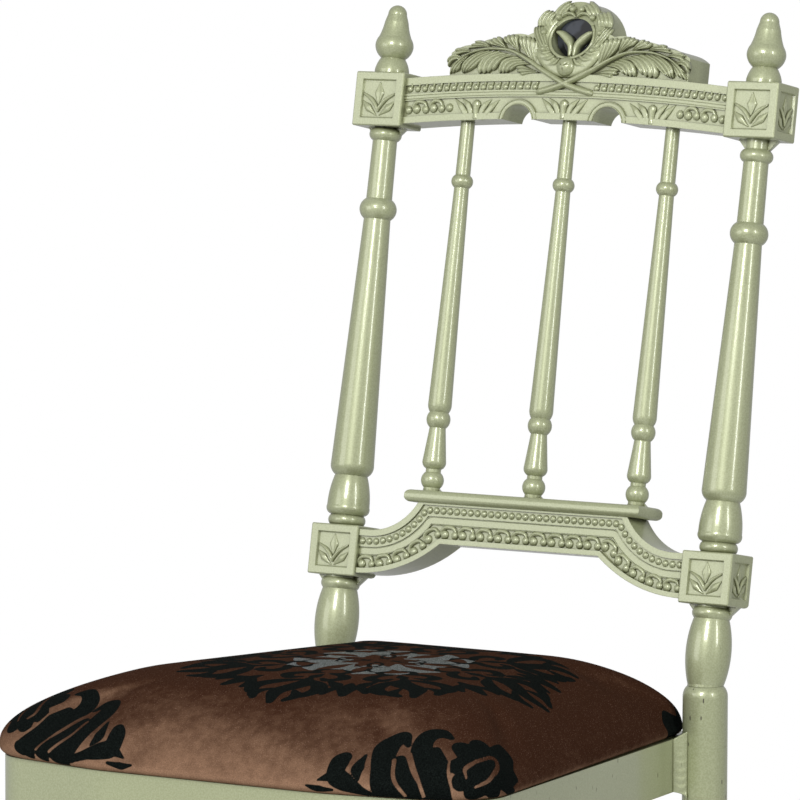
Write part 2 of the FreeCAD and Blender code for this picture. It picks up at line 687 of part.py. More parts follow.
def medallion_face_cut():
    """What is taken off the medallion's front so that its face leans back above the rosette."""
    front = CRESTING_FRONT - MEDALLION_RIM
    reach = 2 * MEDALLION_RADIUS
    hinge = Vector(0, front, MEDALLION_MIDDLE - MEDALLION_RADIUS / 3)
    wedge = box((-reach, front - reach, hinge.z), (reach, front, hinge.z + reach))
    wedge.rotate(hinge, RIGHT, -MEDALLION_LEAN)
    return wedge.common(bore_along_back(MEDALLION_RADIUS, front, CRESTING_REAR, 0, MEDALLION_MIDDLE))


def opening_oval(margin, front, rear):
    """An oval plug on the axis of the medallion's opening."""
    half_width = OPENING_HALF_WIDTH + margin
    half_height = OPENING_HALF_HEIGHT + margin
    middle = Vector(0, 0, MEDALLION_MIDDLE + OPENING_RISE)
    oval = Part.Ellipse(middle + RIGHT * half_width, middle + UP * half_height, middle)
    return plate_between(Part.Wire([oval.toShape()]), front, rear)


POCKET_FRONT = CRESTING_FRONT - MEDALLION_RIM
POCKET_REAR = POCKET_FRONT + POCKET_DEPTH


def crest_rail():
    rail = crest_arches(crest_moulding()).fuse(cresting())
    rail = rail.fuse([mirrored(crest_tenon(0), sign) for name, sign in SIDES])
    rail = rail.cut(opening_oval(0, POCKET_FRONT, POCKET_REAR))
    for name, sign in SPINDLE_SIDES:
        x = sign * SPINDLE_PITCH
        seat = CREST_BASE + camber(x)
        rail = rail.cut(cylinder(SPINDLE_END_RADIUS + TENON_CLEARANCE, CREST_BASE, seat, x, 0))
        high = seat + SPINDLE_TENON_LENGTH + TENON_CLEARANCE
        rail = rail.cut(cylinder(SPINDLE_TENON_RADIUS + TENON_CLEARANCE, CREST_BASE, high, x, 0))
    return rail.removeSplitter()


def medallion_inlay():
    return opening_oval(-TENON_CLEARANCE, POCKET_REAR - INLAY_THICKNESS, POCKET_REAR)


def medallion_tulip():
    """Openwork insert over the inlay: a broad pointed bud opening above two leaf openings."""
    rear = POCKET_REAR - INLAY_THICKNESS
    front = rear - TULIP_THICKNESS
    plate = opening_oval(-TENON_CLEARANCE, front, rear)
    middle = MEDALLION_MIDDLE + OPENING_RISE
    wide = OPENING_HALF_WIDTH - TULIP_BAND
    tall = OPENING_HALF_HEIGHT - TULIP_BAND
    slant = math.sqrt(0.5)
    tip = Vector(0, 0, middle - tall / 2)
    crown = Vector(0, 0, middle + tall)
    swell = Vector(wide * slant, 0, middle + tall / 3)
    swell_left = Vector(-swell.x, 0, swell.z)
    bud = Part.Wire([Part.Arc(tip, swell, crown).toShape(), Part.Arc(crown, swell_left, tip).toShape()])
    plate = plate.cut(plate_between(bud, front, rear))
    root = Vector(TULIP_BAND, 0, middle - tall + TULIP_BAND / 4)
    point = Vector(wide - TULIP_BAND / 4, 0, middle + tall / 5)
    upper = Vector(wide / 2 + TULIP_BAND / 2, 0, middle - tall / 3)
    lower = Vector(wide * slant, 0, middle - tall * slant)
    leaf = Part.Wire([Part.Arc(root, lower, point).toShape(), Part.Arc(point, upper, root).toShape()])
    leaf_cut = plate_between(leaf, front, rear)
    return plate.cut(leaf_cut).cut(mirrored(leaf_cut, -1))


# Lower back rail, its bar and the spindles

def contour(radius, level, lift, inset, land):
    """A contour of the lower rail from left to right: level middle, arcs that settle near the blocks.

    The inset moves the contour downwards by that much, measured square to it. The land is the
    straight run between arc and block.
    """
    end_x = LEG_X - LOWER_BLOCK_WIDTH / 2
    centre = Vector(end_x - land, 0, level - lift + radius)
    offset_radius = radius + inset
    corner_z = level - inset
    corner_x = centre.x - math.sqrt(offset_radius ** 2 - (centre.z - corner_z) ** 2)
    corner = Vector(corner_x, 0, corner_z)
    foot = Vector(centre.x, 0, centre.z - offset_radius)
    end = Vector(end_x, 0, foot.z)
    half_way = math.atan2(corner.x - centre.x, centre.z - corner.z) / 2
    middle = centre + Vector(math.sin(half_way), 0, -math.cos(half_way)) * offset_radius

    def flip(point):
        return Vector(-point.x, 0, point.z)

    left = Part.Arc(flip(foot), flip(middle), flip(corner)).toShape()
    flat_run = Part.LineSegment(flip(corner), corner).toShape()
    right = Part.Arc(corner, middle, foot).toShape()
    edges = [left, flat_run, right]
    if land > 0:
        edges.append(Part.LineSegment(foot, end).toShape())
        edges.append(Part.LineSegment(flip(end), flip(foot)).toShape())
    return edges, end


def under_contour(rise):
    """A contour set up from the rail's underside."""
    run = LEG_X - LOWER_BLOCK_WIDTH / 2 - ARCH_FLAT / 2
    radius = (run * run + ARCH_LIFT * ARCH_LIFT) / (2 * ARCH_LIFT)
    return contour(radius, LOWER_RAIL_BASE + ARCH_LIFT, ARCH_LIFT, -rise, 0)


def top_contour(inset):
    """A contour set down from the rail's top edge. The carved ones crowd up under the bar."""
    rise = ARCH_LIFT + LOWER_RAIL_MIDDLE_HEIGHT + (RAIL_CARVING_LIFT if inset > 0 else 0)
    lift = rise - LOWER_RAIL_END_HEIGHT
    return contour(RAIL_SHOULDER_RADIUS, LOWER_RAIL_BASE + rise, lift, inset, RAIL_LAND)


def rail_strip(upper_contour, lower_contour, rear):
    """A strip of the lower rail between two of its contours, from its front back to a depth."""
    upper, upper_end = upper_contour
    lower, lower_end = lower_contour
    ends = []
    for sign in (-1, 1):
        a = Vector(sign * upper_end.x, 0, upper_end.z)
        b = Vector(sign * lower_end.x, 0, lower_end.z)
        ends.append(Part.LineSegment(a, b).toShape())
    return plate_between(front_wire(upper + lower + ends), LOWER_RAIL_FRONT, rear)


def lower_back_rail():
    """Arched casting whose bead channel, middle band and frieze follow its contours, each sunk deeper."""
    rail = rail_strip(top_contour(0), under_contour(0), LOWER_RAIL_REAR)
    bead_top = top_contour(RAIL_TOP_BAND)
    bead_foot = top_contour(RAIL_TOP_BAND + RAIL_BEAD_BAND)
    frieze_top = top_contour(RAIL_TOP_BAND + RAIL_BEAD_BAND + RAIL_MIDDLE_BAND)
    rail = rail.cut(rail_strip(bead_top, bead_foot, LOWER_RAIL_FRONT + BAND_SINK))
    rail = rail.cut(rail_strip(bead_foot, frieze_top, LOWER_RAIL_FRONT + RAIL_MIDDLE_SINK))
    foot_band = under_contour(RAIL_FOOT_BAND)
    rail = rail.cut(rail_strip(frieze_top, foot_band, LOWER_RAIL_FRONT + RAIL_FRIEZE_SINK))
    return rail.fuse([mirrored(lower_rail_tenon(0), sign) for name, sign in SIDES])


def spindle_bar():
    """Moulded bar with a rounded nose along the front and both ends."""
    half = BAR_LENGTH / 2
    front = LOWER_RAIL_FRONT - BAR_FRONT_OVERHANG
    rear = LOWER_RAIL_REAR + BAR_REAR_OVERHANG
    bar = box((-half, front, BAR_BASE), (half, rear, SPINDLE_BASE))
    level = [edge for edge in bar.Edges if abs(edge.tangentAt(edge.FirstParameter).z) < 0.5]
    bar = bar.makeFillet(BAR_NOSE, level)
    for name, sign in SPINDLE_SIDES:
        low = SPINDLE_BASE - SPINDLE_TENON_LENGTH - TENON_CLEARANCE
        socket_radius = SPINDLE_TENON_RADIUS + TENON_CLEARANCE
        bar = bar.cut(cylinder(socket_radius, low, SPINDLE_BASE, sign * SPINDLE_PITCH, 0))
    return bar


def spindle(x):
    """From the bar up: ball, bell, ball, long tapered column, ring and slim top."""
    length = SPINDLE_LENGTH + camber(x)
    ball_top = SPINDLE_ROOT_LENGTH + SPINDLE_BALL_LENGTH
    bell_base = ball_top + SPINDLE_NECK_LENGTH
    bell_top = bell_base + SPINDLE_BELL_LENGTH
    upper_ball_top = bell_top + SPINDLE_UPPER_BALL_LENGTH
    foot = upper_ball_top + SPINDLE_FOOT_RISE
    ring_base = SPINDLE_LENGTH - SPINDLE_RING_BELOW_TOP
    outline = Turning(SPINDLE_TENON_RADIUS, -SPINDLE_TENON_LENGTH).line(SPINDLE_TENON_RADIUS, 0)
    outline.line(SPINDLE_ROOT_RADIUS, 0).line(SPINDLE_ROOT_RADIUS, SPINDLE_ROOT_LENGTH)
    outline.bead(SPINDLE_BALL_RADIUS, SPINDLE_NECK_RADIUS, ball_top)
    outline.line(SPINDLE_NECK_RADIUS, bell_base)
    outline.bow((SPINDLE_BELL_RADIUS - SPINDLE_NECK_RADIUS) / 3, SPINDLE_BELL_RADIUS,
                bell_base + SPINDLE_BELL_RISE)
    outline.line(SPINDLE_BELL_TOP_RADIUS, bell_top)
    outline.bead(SPINDLE_UPPER_BALL_RADIUS, SPINDLE_WAIST_RADIUS, upper_ball_top)
    outline.bow((SPINDLE_FOOT_RADIUS - SPINDLE_WAIST_RADIUS) / 3, SPINDLE_FOOT_RADIUS, foot)
    outline.line(SPINDLE_TOP_RADIUS, ring_base)
    outline.bead(SPINDLE_RING_RADIUS, SPINDLE_TOP_RADIUS, ring_base + SPINDLE_RING_LENGTH)
    outline.line(SPINDLE_END_RADIUS, length).line(SPINDLE_TENON_RADIUS, length)
    outline.line(SPINDLE_TENON_RADIUS, length + SPINDLE_TENON_LENGTH)
    return at(outline.solid(), x, 0, SPINDLE_BASE)


# Seat rails, which together make a closed box-tube ring

def seat_ring():
    outer = rail_prism(0, APRON_BASE, APRON_TOP).cut(rail_prism(APRON_THICKNESS, APRON_BASE, APRON_TOP))
    low, high = APRON_BASE + APRON_WALL, APRON_TOP - APRON_WALL
    inner_wall = APRON_THICKNESS - APRON_WALL
    return outer.cut(rail_prism(APRON_WALL, low, high).cut(rail_prism(inner_wall, low, high)))


def seat_rails():
    """Cuts the ring into its front, side and rear tubes. The rear tube runs behind the side tubes."""
    ring = seat_ring()
    reach = SEAT_WIDTH
    front_end = LEG_Y - SEAT_DEPTH + BOW_DEPTH + SPLIT_BEHIND_CORNER
    rear_end = LEG_Y + RAIL_BEHIND_LEGS
    rear_start = rear_end - APRON_THICKNESS
    low, high = APRON_BASE, APRON_TOP
    zones = {
        "front_rail": box((-reach, front_end - reach, low), (reach, front_end, high)),
        "side_rail_right": box((0, front_end, low), (reach, rear_start, high)),
        "side_rail_left": box((-reach, front_end, low), (0, rear_start, high)),
        "rear_rail": box((-reach, rear_start, low), (reach, rear_end, high)),
    }
    return {name: ring.common(zone) for name, zone in zones.items()}


# Plates that carry the front legs, tabs and screws that hold the board

def front_leg_axis():
    corners = inset_corners(seat_corners(0, SEAM_GAP, RAIL_BEHIND_LEGS), FRONT_LEG_INSET)
    return corners[1]


def leg_plate():
    """A three-cornered plate welded into the ring's front corner, level with its underside."""
    corners = inset_corners(seat_corners(0, SEAM_GAP, RAIL_BEHIND_LEGS), APRON_THICKNESS)
    bow, corner, rear = corners[0], corners[1], corners[2]
    points = [corner, corner + (rear - corner).normalize() * LEG_PLATE_REACH,
              corner + (bow - corner).normalize() * LEG_PLATE_REACH]
    lifted = [Vector(point.x, point.y, APRON_BASE) for point in points]
    plate = Part.Face(Part.makePolygon(lifted + lifted[:1])).extrude(UP * LEG_PLATE_THICKNESS)
    plate = plate.common(rail_prism(APRON_THICKNESS, APRON_BASE, APRON_TOP))
    axis = front_leg_axis()
    hole = cylinder(STUD_RADIUS + TENON_CLEARANCE, APRON_BASE, APRON_TOP, axis.x, axis.y)
    return plate.cut(hole)


def tab_places():
    """Screw positions along the right-hand side rail, half way across each tab."""
    corners = inset_corners(seat_corners(0, SEAM_GAP, RAIL_BEHIND_LEGS), APRON_THICKNESS + TAB_REACH / 2)
    corner, rear = corners[1], corners[2]
    slope = (rear.x - corner.x) / (rear.y - corner.y)
    places = []
    for share in TAB_SHARES:
        y = LEG_Y - share * SEAT_DEPTH
        places.append(Vector(corner.x + (y - corner.y) * slope, y))
    return places


TAB_TOP = APRON_TOP - CLOTH_THICKNESS
TAB_BASE = TAB_TOP - TAB_THICKNESS


def seat_tab(place):
    """A small plate welded to the inner face of the side rail."""
    inner = rail_prism(APRON_THICKNESS, TAB_BASE, TAB_TOP)
    core = rail_prism(APRON_THICKNESS + TAB_REACH, TAB_BASE, TAB_TOP)
    zone = box((0, place.y - TAB_LENGTH / 2, TAB_BASE), (SEAT_WIDTH, place.y + TAB_LENGTH / 2, TAB_TOP))
    hole = cylinder(SCREW_RADIUS + TENON_CLEARANCE, TAB_BASE, TAB_TOP, place.x, place.y)
    return inner.cut(core).common(zone).cut(hole)


def seat_screw(place, clearance):
    head_base = TAB_BASE - SCREW_HEAD_HEIGHT
    shank_top = APRON_TOP + SCREW_IN_BOARD + clearance
    head = cylinder(SCREW_HEAD_RADIUS, head_base, TAB_BASE, place.x, place.y)
    shank = cylinder(SCREW_RADIUS + clearance, head_base, shank_top, place.x, place.y)
    return head.fuse(shank).removeSplitter()


def both_sides(shapes):
    return [mirrored(shape, sign) for shape in shapes for name, sign in SIDES]


# Seat board, dust cloth, foam and cover

def seat_board():
    edge = cushion_ring(0, TUCK_INSET + COVER_THICKNESS + BOARD_CLEARANCE)
    board = Part.Face(edge).extrude(UP * BOARD_THICKNESS)
    for screw in both_sides([seat_screw(place, TENON_CLEARANCE) for place in tab_places()]):
        board = board.cut(screw)
    return board


def dust_cloth():
    cloth = rail_prism(APRON_THICKNESS + SEAM_GAP, TAB_TOP, APRON_TOP)
    for screw in both_sides([seat_screw(place, TENON_CLEARANCE) for place in tab_places()]):
        cloth = cloth.cut(screw)
    return cloth


def cushion_ring(height, inset):
    """One level line of the cushion, shrunk from its widest line about the middle of the seat."""
    corners = seat_corners(CUSHION_OVERHANG, CUSHION_LEG_GAP, CUSHION_REAR)
    middle = Vector(0, (corners[0].y + corners[2].y) / 2)
    half_width = SEAT_WIDTH / 2 + CUSHION_OVERHANG
    scale = 1 - inset / half_width
    points = [middle + (corner - middle) * scale for corner in corners]
    bends = [BOW_BEND_RADIUS, CUSHION_CORNER_RADIUS, CUSHION_REAR_RADIUS]
    radii = [bend * scale for bend in bends]
    return rounded_wire(points, radii + radii[::-1], APRON_TOP + height)


def cushion_form(shrink):
    """The cushion's crowned body: drawn-in lower edge and a dome over the widest line."""
    levels = [(SEAM_GAP, TUCK_INSET), (TUCK_HEIGHT, TUCK_INSET / 4), (BULGE_HEIGHT, 0)]
    dome = CUSHION_CROWN - BULGE_HEIGHT
    for i in range(1, CROWN_RINGS + 1):
        turn = i / CROWN_RINGS * math.pi / 2
        inset = CROWN_TOP_INSET * (1 - math.cos(turn))
        levels.append((BULGE_HEIGHT + dome * math.sin(turn), inset))
    rings = []
    for height, inset in levels:
        lowered = height - shrink * (height - SEAM_GAP) / (CUSHION_CROWN - SEAM_GAP)
        rings.append(cushion_ring(lowered, inset + shrink))
    return Part.makeLoft(rings, True, True)


def seat_cover():
    """Thin shell of cloth over foam and board, open underneath."""
    return cushion_form(0).cut(cushion_form(COVER_THICKNESS))


def seat_foam():
    below = box((-SEAT_WIDTH, -SEAT_DEPTH, 0),
                (SEAT_WIDTH, SEAT_DEPTH, APRON_TOP + BOARD_THICKNESS))
    return cushion_form(COVER_THICKNESS + SEAM_GAP).cut(below)


# Front legs and stretchers

def front_leg_shape():
    """Turned leg from the floor up: toe, foot, bead, long taper, ring, neck, head and stud."""
    top = APRON_BASE
    foot_top = GLIDE_HEIGHT + FRONT_LEG_FOOT_LENGTH
    bead_top = foot_top + FRONT_LEG_BEAD_LENGTH
    head_base = top - FRONT_LEG_HEAD_LENGTH
    ring_top = head_base - FRONT_LEG_SHOULDER_RISE / 2
    ring_base = ring_top - FRONT_LEG_RING_LENGTH
    shoulder = ring_base - FRONT_LEG_SHOULDER_RISE
    outline = Turning(FRONT_LEG_TOE_RADIUS, GLIDE_HEIGHT)
    outline.bead(FRONT_LEG_FOOT_RADIUS, FRONT_LEG_TOE_RADIUS, foot_top)
    outline.bead(FRONT_LEG_BEAD_RADIUS, FRONT_LEG_ANKLE_RADIUS, bead_top)
    outline.line(FRONT_LEG_SHOULDER_RADIUS, shoulder)
    outline.bow((FRONT_LEG_SHOULDER_RADIUS - FRONT_LEG_NECK_RADIUS) / 3, FRONT_LEG_NECK_RADIUS, ring_base)
    outline.bead(FRONT_LEG_RING_RADIUS, FRONT_LEG_NECK_RADIUS, ring_top)
    outline.bow((FRONT_LEG_HEAD_RADIUS - FRONT_LEG_NECK_RADIUS) / 4, FRONT_LEG_HEAD_RADIUS, head_base)
    outline.line(FRONT_LEG_HEAD_RADIUS, top).line(STUD_RADIUS, top)
    outline.line(STUD_RADIUS, top + LEG_PLATE_THICKNESS)
    axis = front_leg_axis()
    return at(outline.solid(), axis.x, axis.y, 0)


def front_leg():
    axis = front_leg_axis()
    pin_top = GLIDE_HEIGHT + GLIDE_PLUG_LENGTH + TENON_CLEARANCE
    return front_leg_shape().cut(cylinder(GLIDE_PIN_RADIUS + TENON_CLEARANCE, 0, pin_top, axis.x, axis.y))


def stretcher(start, end, height, legs):
    """A round tube between two legs, with its ends saddled onto them."""
    low = Vector(start.x, start.y, height)
    run = Vector(end.x, end.y, height) - low
    rod = Part.makeCylinder(STRETCHER_RADIUS, run.Length, low, run)
    bore = Part.makeCylinder(STRETCHER_RADIUS - STRETCHER_WALL, run.Length, low, run)
    return rod.cut(bore).cut(legs)


# Glides

def glide(foot_radius, plug_radius):
    outline = Turning(foot_radius - GLIDE_CHAMFER, 0).line(foot_radius, GLIDE_CHAMFER)
    outline.line(foot_radius, GLIDE_HEIGHT).line(plug_radius, GLIDE_HEIGHT)
    outline.line(plug_radius, GLIDE_HEIGHT + GLIDE_PLUG_LENGTH)
    return outline.solid()


# Welds

def half_fillet(radius, reach, rise):
    """A weld fillet round the rear half of a turned piece, up it by the rise, or down for a negative one."""
    points = [Vector(radius, 0, 0), Vector(radius + reach, 0, 0), Vector(radius, 0, rise)]
    section = Part.Face(Part.makePolygon(points + points[:1]))
    return section.revolve(Vector(0, 0, 0), UP, 180)


def post_welds():
    """Fillets behind the posts, under each block."""
    low = at(half_fillet(BALUSTER_ROOT_RADIUS, POST_WELD_REACH, -POST_WELD_DROP), LEG_X, 0, LOWER_BLOCK_BASE)
    low = low.cut(bore_along_x(2 * HEEL_RADIUS, 0, LEG_SPACING, BLOCK_DEPTH, LOWER_BLOCK_BASE))
    low = low.cut(at(baluster_turning(), LEG_X, 0, 0))
    high = at(half_fillet(POST_ROOT_RADIUS, POST_WELD_REACH, -POST_WELD_DROP), LEG_X, 0, TOP_BLOCK_BASE)
    welds = both_sides([low])
    for name, sign in SIDES:
        welds.append(mirrored(high.cut(back_post(bead_lift(sign))), sign))
    return [leaned(weld) for weld in welds]


def spindle_welds():
    fillet = half_fillet(SPINDLE_ROOT_RADIUS, SPINDLE_WELD_LEG, SPINDLE_WELD_LEG)
    return [leaned(at(fillet, sign * SPINDLE_PITCH, 0, SPINDLE_BASE)) for name, sign in SPINDLE_SIDES]


def leg_weld(leg):
    """An upright bead in the valley between side rail and back leg."""
    corners = seat_corners(0, SEAM_GAP, RAIL_BEHIND_LEGS)
    run = (corners[2] - corners[1]).normalize()
    to_leg = Vector(LEG_X, LEG_Y) - corners[1]
    foot = corners[1] + run * (to_leg.dot(run) - LEG_WELD_OFFSET)
    bead = cylinder(LEG_WELD_RADIUS, APRON_BASE, APRON_TOP - SEAM_GAP, foot.x, foot.y)
    return bead.cut(rail_prism(0, APRON_BASE, APRON_TOP)).cut(leg)


# The chair

def build():
    os.makedirs("parts", exist_ok=True)
    leg_envelope = at(back_leg_envelope(), LEG_X, LEG_Y, 0)
    front_envelope = front_leg_shape()
    front_axis = front_leg_axis()
    back_axis = Vector(LEG_X, LEG_Y)

    for name, sign in SIDES:
        save("back_leg_" + name, mirrored(at(back_leg(), LEG_X, LEG_Y, 0), sign))
        save("baluster_" + name, mirrored(at(baluster(), LEG_X, 0, 0), sign))
        save("lower_block_" + name, mirrored(leaned(lower_block()), sign))
        save("back_post_" + name, mirrored(leaned(back_post(bead_lift(sign))), sign))
        save("top_block_" + name, mirrored(leaned(top_block()), sign))
        save("finial_" + name, mirrored(leaned(finial()), sign))
        save("front_leg_" + name, mirrored(front_leg(), sign))
        side = stretcher(front_axis, back_axis, SIDE_STRETCHER_HEIGHT, [front_envelope, leg_envelope])
        save("stretcher_" + name, mirrored(side, sign))

    save("neck_dowels", Part.makeCompound(both_sides([at(neck_dowel(0), LEG_X, LEG_Y, 0)])))
    save("crest_rail", leaned(crest_rail()))
    save("medallion_inlay", leaned(medallion_inlay()))
    save("medallion_tulip", leaned(medallion_tulip()))
    save("lower_back_rail", leaned(lower_back_rail()))
    save("spindle_bar", leaned(spindle_bar()))
    for name, sign in SPINDLE_SIDES:
        save("spindle_" + name, leaned(spindle(sign * SPINDLE_PITCH)))

    for name, rail in seat_rails().items():
        save(name, rail)
    save("leg_plates", Part.makeCompound(both_sides([leg_plate()])))
    save("seat_tabs", Part.makeCompound(both_sides([seat_tab(place) for place in tab_places()])))
    save("seat_screws", Part.makeCompound(both_sides([seat_screw(place, 0) for place in tab_places()])))
    save("seat_board", seat_board())
    save("dust_cloth", dust_cloth())
    save("seat_foam", seat_foam())
    save("seat_cover", seat_cover())

    crosswise = (("stretcher_front", front_axis, front_envelope),
                 ("stretcher_rear", back_axis, leg_envelope))
    for name, axis, leg in crosswise:
        other = Vector(-axis.x, axis.y)
        save(name, stretcher(other, axis, CROSS_STRETCHER_HEIGHT, [leg, mirrored(leg, -1)]))

    front_glide = at(glide(FRONT_LEG_TOE_RADIUS, GLIDE_PIN_RADIUS), front_axis.x, front_axis.y, 0)
    back_plug = LEG_RADIUS - LEG_WALL - TENON_CLEARANCE
    back_glide = at(glide(LEG_RADIUS, back_plug), LEG_X, LEG_Y, 0)
    save("glides_front", Part.makeCompound(both_sides([front_glide])))
    save("glides_back", Part.makeCompound(both_sides([back_glide])))
    save("post_welds", Part.makeCompound(post_welds()))
    save("spindle_welds", Part.makeCompound(spindle_welds()))
    save("leg_welds", Part.makeCompound(both_sides([leg_weld(leg_envelope)])))


build()
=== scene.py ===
import math

import bmesh
import bpy
import numpy as np
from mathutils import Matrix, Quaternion, Vector


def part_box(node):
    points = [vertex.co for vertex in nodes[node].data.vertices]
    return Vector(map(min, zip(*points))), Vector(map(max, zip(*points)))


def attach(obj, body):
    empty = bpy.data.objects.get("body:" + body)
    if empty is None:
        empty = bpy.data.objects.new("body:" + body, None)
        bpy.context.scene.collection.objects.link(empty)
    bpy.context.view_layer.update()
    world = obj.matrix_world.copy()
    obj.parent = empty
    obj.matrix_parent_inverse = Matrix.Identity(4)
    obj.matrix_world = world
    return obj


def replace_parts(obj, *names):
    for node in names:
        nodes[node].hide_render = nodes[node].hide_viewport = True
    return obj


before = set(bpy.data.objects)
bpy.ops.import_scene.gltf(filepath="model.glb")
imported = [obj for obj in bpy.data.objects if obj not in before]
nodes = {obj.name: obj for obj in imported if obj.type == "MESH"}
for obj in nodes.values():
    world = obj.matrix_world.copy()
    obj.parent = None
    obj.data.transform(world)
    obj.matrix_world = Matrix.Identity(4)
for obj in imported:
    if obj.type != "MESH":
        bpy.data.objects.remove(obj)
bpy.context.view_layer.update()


# Back legs and balusters.
# Round aluminium tubes with a domed shoulder, and cast vase turnings on dowels above them.
# All the metal has one coat of pale green champagne lacquer, with painted shade darkening it in the hollows.

def tint(red, green, blue):
    """A colour as a paint card gives it, 0 to 255, for a shader."""
    levels = []
    for level in (red / 255, green / 255, blue / 255):
        levels.append(level / 12.92 if level <= 0.04045 else ((level + 0.055) / 1.055) ** 2.4)
    return (*levels, 1.0)


class Flow:
    """A value on its way through a finish's nodes. Sums and products of values add Math nodes."""

    def __init__(self, tree, socket=None):
        self.tree = tree
        self.socket = socket

    def node(self, kind, settings, inputs, output=0):
        made = self.tree.nodes.new(kind)
        for name, value in settings.items():
            setattr(made, name, value)
        for name, value in inputs.items():
            if isinstance(value, Flow):
                self.tree.links.new(value.socket, made.inputs[name])
            else:
                made.inputs[name].default_value = value
        return Flow(self.tree, made.outputs[output] if made.outputs else None)

    def math(self, operation, first, second):
        return self.node("ShaderNodeMath", {"operation": operation}, {0: first, 1: second})

    def __add__(self, other):
        return self.math("ADD", self, other)

    def __radd__(self, other):
        return self.math("ADD", other, self)

    def __sub__(self, other):
        return self.math("SUBTRACT", self, other)

    def __rsub__(self, other):
        return self.math("SUBTRACT", other, self)

    def __mul__(self, other):
        return self.math("MULTIPLY", self, other)

    def __rmul__(self, other):
        return self.math("MULTIPLY", other, self)

    def step(self, low, high):
        """0 below low and 1 above high, with a soft ramp between them. low may be the greater."""
        settings = {"interpolation_type": "SMOOTHSTEP"}
        return self.node("ShaderNodeMapRange", settings, {"Value": self, "From Min": low, "From Max": high})

    def mix(self, before, after):
        """The first colour where this value is 0, the second where it is 1."""
        return self.node("ShaderNodeMix", {"data_type": "RGBA"}, {0: self, 6: before, 7: after}, 2)

    def stretched(self, x, y, z):
        return self.node("ShaderNodeVectorMath", {"operation": "MULTIPLY"}, {0: self, 1: (x, y, z)})

    def measured(self, x, y, z):
        """How far the place or direction reaches along a line."""
        line = {0: self, 1: (x, y, z)}
        return self.node("ShaderNodeVectorMath", {"operation": "DOT_PRODUCT"}, line, "Value")

    def noise(self, scale, detail=2.0):
        return self.node("ShaderNodeTexNoise", {}, {"Vector": self, "Scale": scale, "Detail": detail})

    def specks(self, scale):
        """Distance to the nearest of a scatter of points."""
        return self.node("ShaderNodeTexVoronoi", {}, {"Vector": self, "Scale": scale}, "Distance")

    def bump(self, strength, distance):
        inputs = {"Height": self, "Strength": strength, "Distance": distance}
        return self.node("ShaderNodeBump", {}, inputs, "Normal")

    def surface(self, inputs):
        shader = self.node("ShaderNodeBsdfPrincipled", {}, inputs, "BSDF")
        self.node("ShaderNodeOutputMaterial", {}, {"Surface": shader})


def new_finish(name):
    finish = bpy.data.materials.new(name)
    finish.use_nodes = True
    finish.node_tree.nodes.clear()
    flow = Flow(finish.node_tree)
    return finish, flow.node("ShaderNodeTexCoord", {}, {}, "Object")


def champagne_lacquer():
    finish, place = new_finish("champagne_lacquer")
    full = tint(190, 196, 158)
    thin = tint(170, 176, 136)
    hollow_shade = tint(104, 106, 68)
    bare = tint(84, 80, 66)
    cloud = place.noise(7.0).step(0.35, 0.65)
    flake = place.noise(850.0, 1.0).step(0.3, 0.7)
    # painted shade: ambient occlusion darkens the lacquer to a dark olive in hollows and crevices
    shade = place.node("ShaderNodeAmbientOcclusion", {"samples": 6}, {"Distance": 0.005}, "AO")
    # chips only where the right-hand legs get knocked, below the height of the seat
    height, aside = place.measured(0, 0, 1), place.measured(1, 0, 0)
    worn = place.noise(22.0).step(0.44, 0.54) * height.step(0.5, 0.42) * aside.step(0.12, 0.16)
    nick = place.stretched(210.0, 210.0, 60.0).specks(1.0).step(0.14, 0.09) * worn
    colour = (cloud * 0.3 + flake * 0.7).mix(thin, full)
    colour = shade.step(0.1, 0.95).mix(hollow_shade, colour)
    colour = nick.mix(colour, bare)
    edge = place.node("ShaderNodeBevel", {"samples": 4}, {"Radius": 0.0009})
    grain = {"Height": flake, "Strength": 0.04, "Distance": 0.0002, "Normal": edge}
    place.surface({
        "Base Color": colour,
        "Metallic": 0.28,
        "Roughness": 0.36 + flake * 0.08 + cloud * 0.03 + nick * 0.3,
        "Coat Weight": 1.0,
        "Coat Roughness": 0.11,
        "Normal": place.node("ShaderNodeBump", {}, grain),
    })
    return finish


lacquer = champagne_lacquer()


def wears(finish, *names):
    """Gives carried-over parts their finish."""
    for name in names:
        data = nodes[name].data
        data.materials.clear()
        data.materials.append(finish)


SIDES = ("left", "right")
for side in SIDES:
    wears(lacquer, "back_leg_" + side, "baluster_" + side)
wears(lacquer, "neck_dowels")


# Blocks.
# Cast aluminium cubes at both ends of the posts, with a tulip in relief on the floor of each sunk panel.
# The tulip is a pointed bud over two upswept leaves and two low ones, cast with the block.

MM = 0.001
RAKE = math.radians(9.9)
leg_low, leg_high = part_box("back_leg_right")
LEG_X = (leg_low.x + leg_high.x) / 2 / MM
LEG_Y = (leg_low.y + leg_high.y) / 2 / MM
NECK = leg_high.z / MM
BEDDING = 0.4                    # how far relief is sunk into what carries it


def leaned(points):
    """From the upright back (across, forward, up, in mm) to the chair's own place in metres."""
    across, forward, up = points.T
    y = LEG_Y - forward * math.cos(RAKE) + up * math.sin(RAKE)
    z = NECK + forward * math.sin(RAKE) + up * math.cos(RAKE)
    return np.stack([across, y, z], axis=-1) * MM


def smooth_line(path, steps):
    """A flowing line through the given points."""
    path = np.asarray(path, float)
    padded = np.vstack([2 * path[0] - path[1], path, 2 * path[-1] - path[-2]])
    where = np.linspace(0, len(path) - 1 - 1e-9, steps)
    index = where.astype(int)
    u = (where - index)[:, None]
    a, b, c, d = (padded[index + k] for k in range(4))
    square, cube = 2 * a - 5 * b + 4 * c - d, 3 * b - a - 3 * c + d
    return 0.5 * (2 * b + (c - a) * u + square * u ** 2 + cube * u ** 3)


def along(values, steps):
    return np.interp(np.linspace(0, 1, steps), np.linspace(0, 1, len(values)), values)


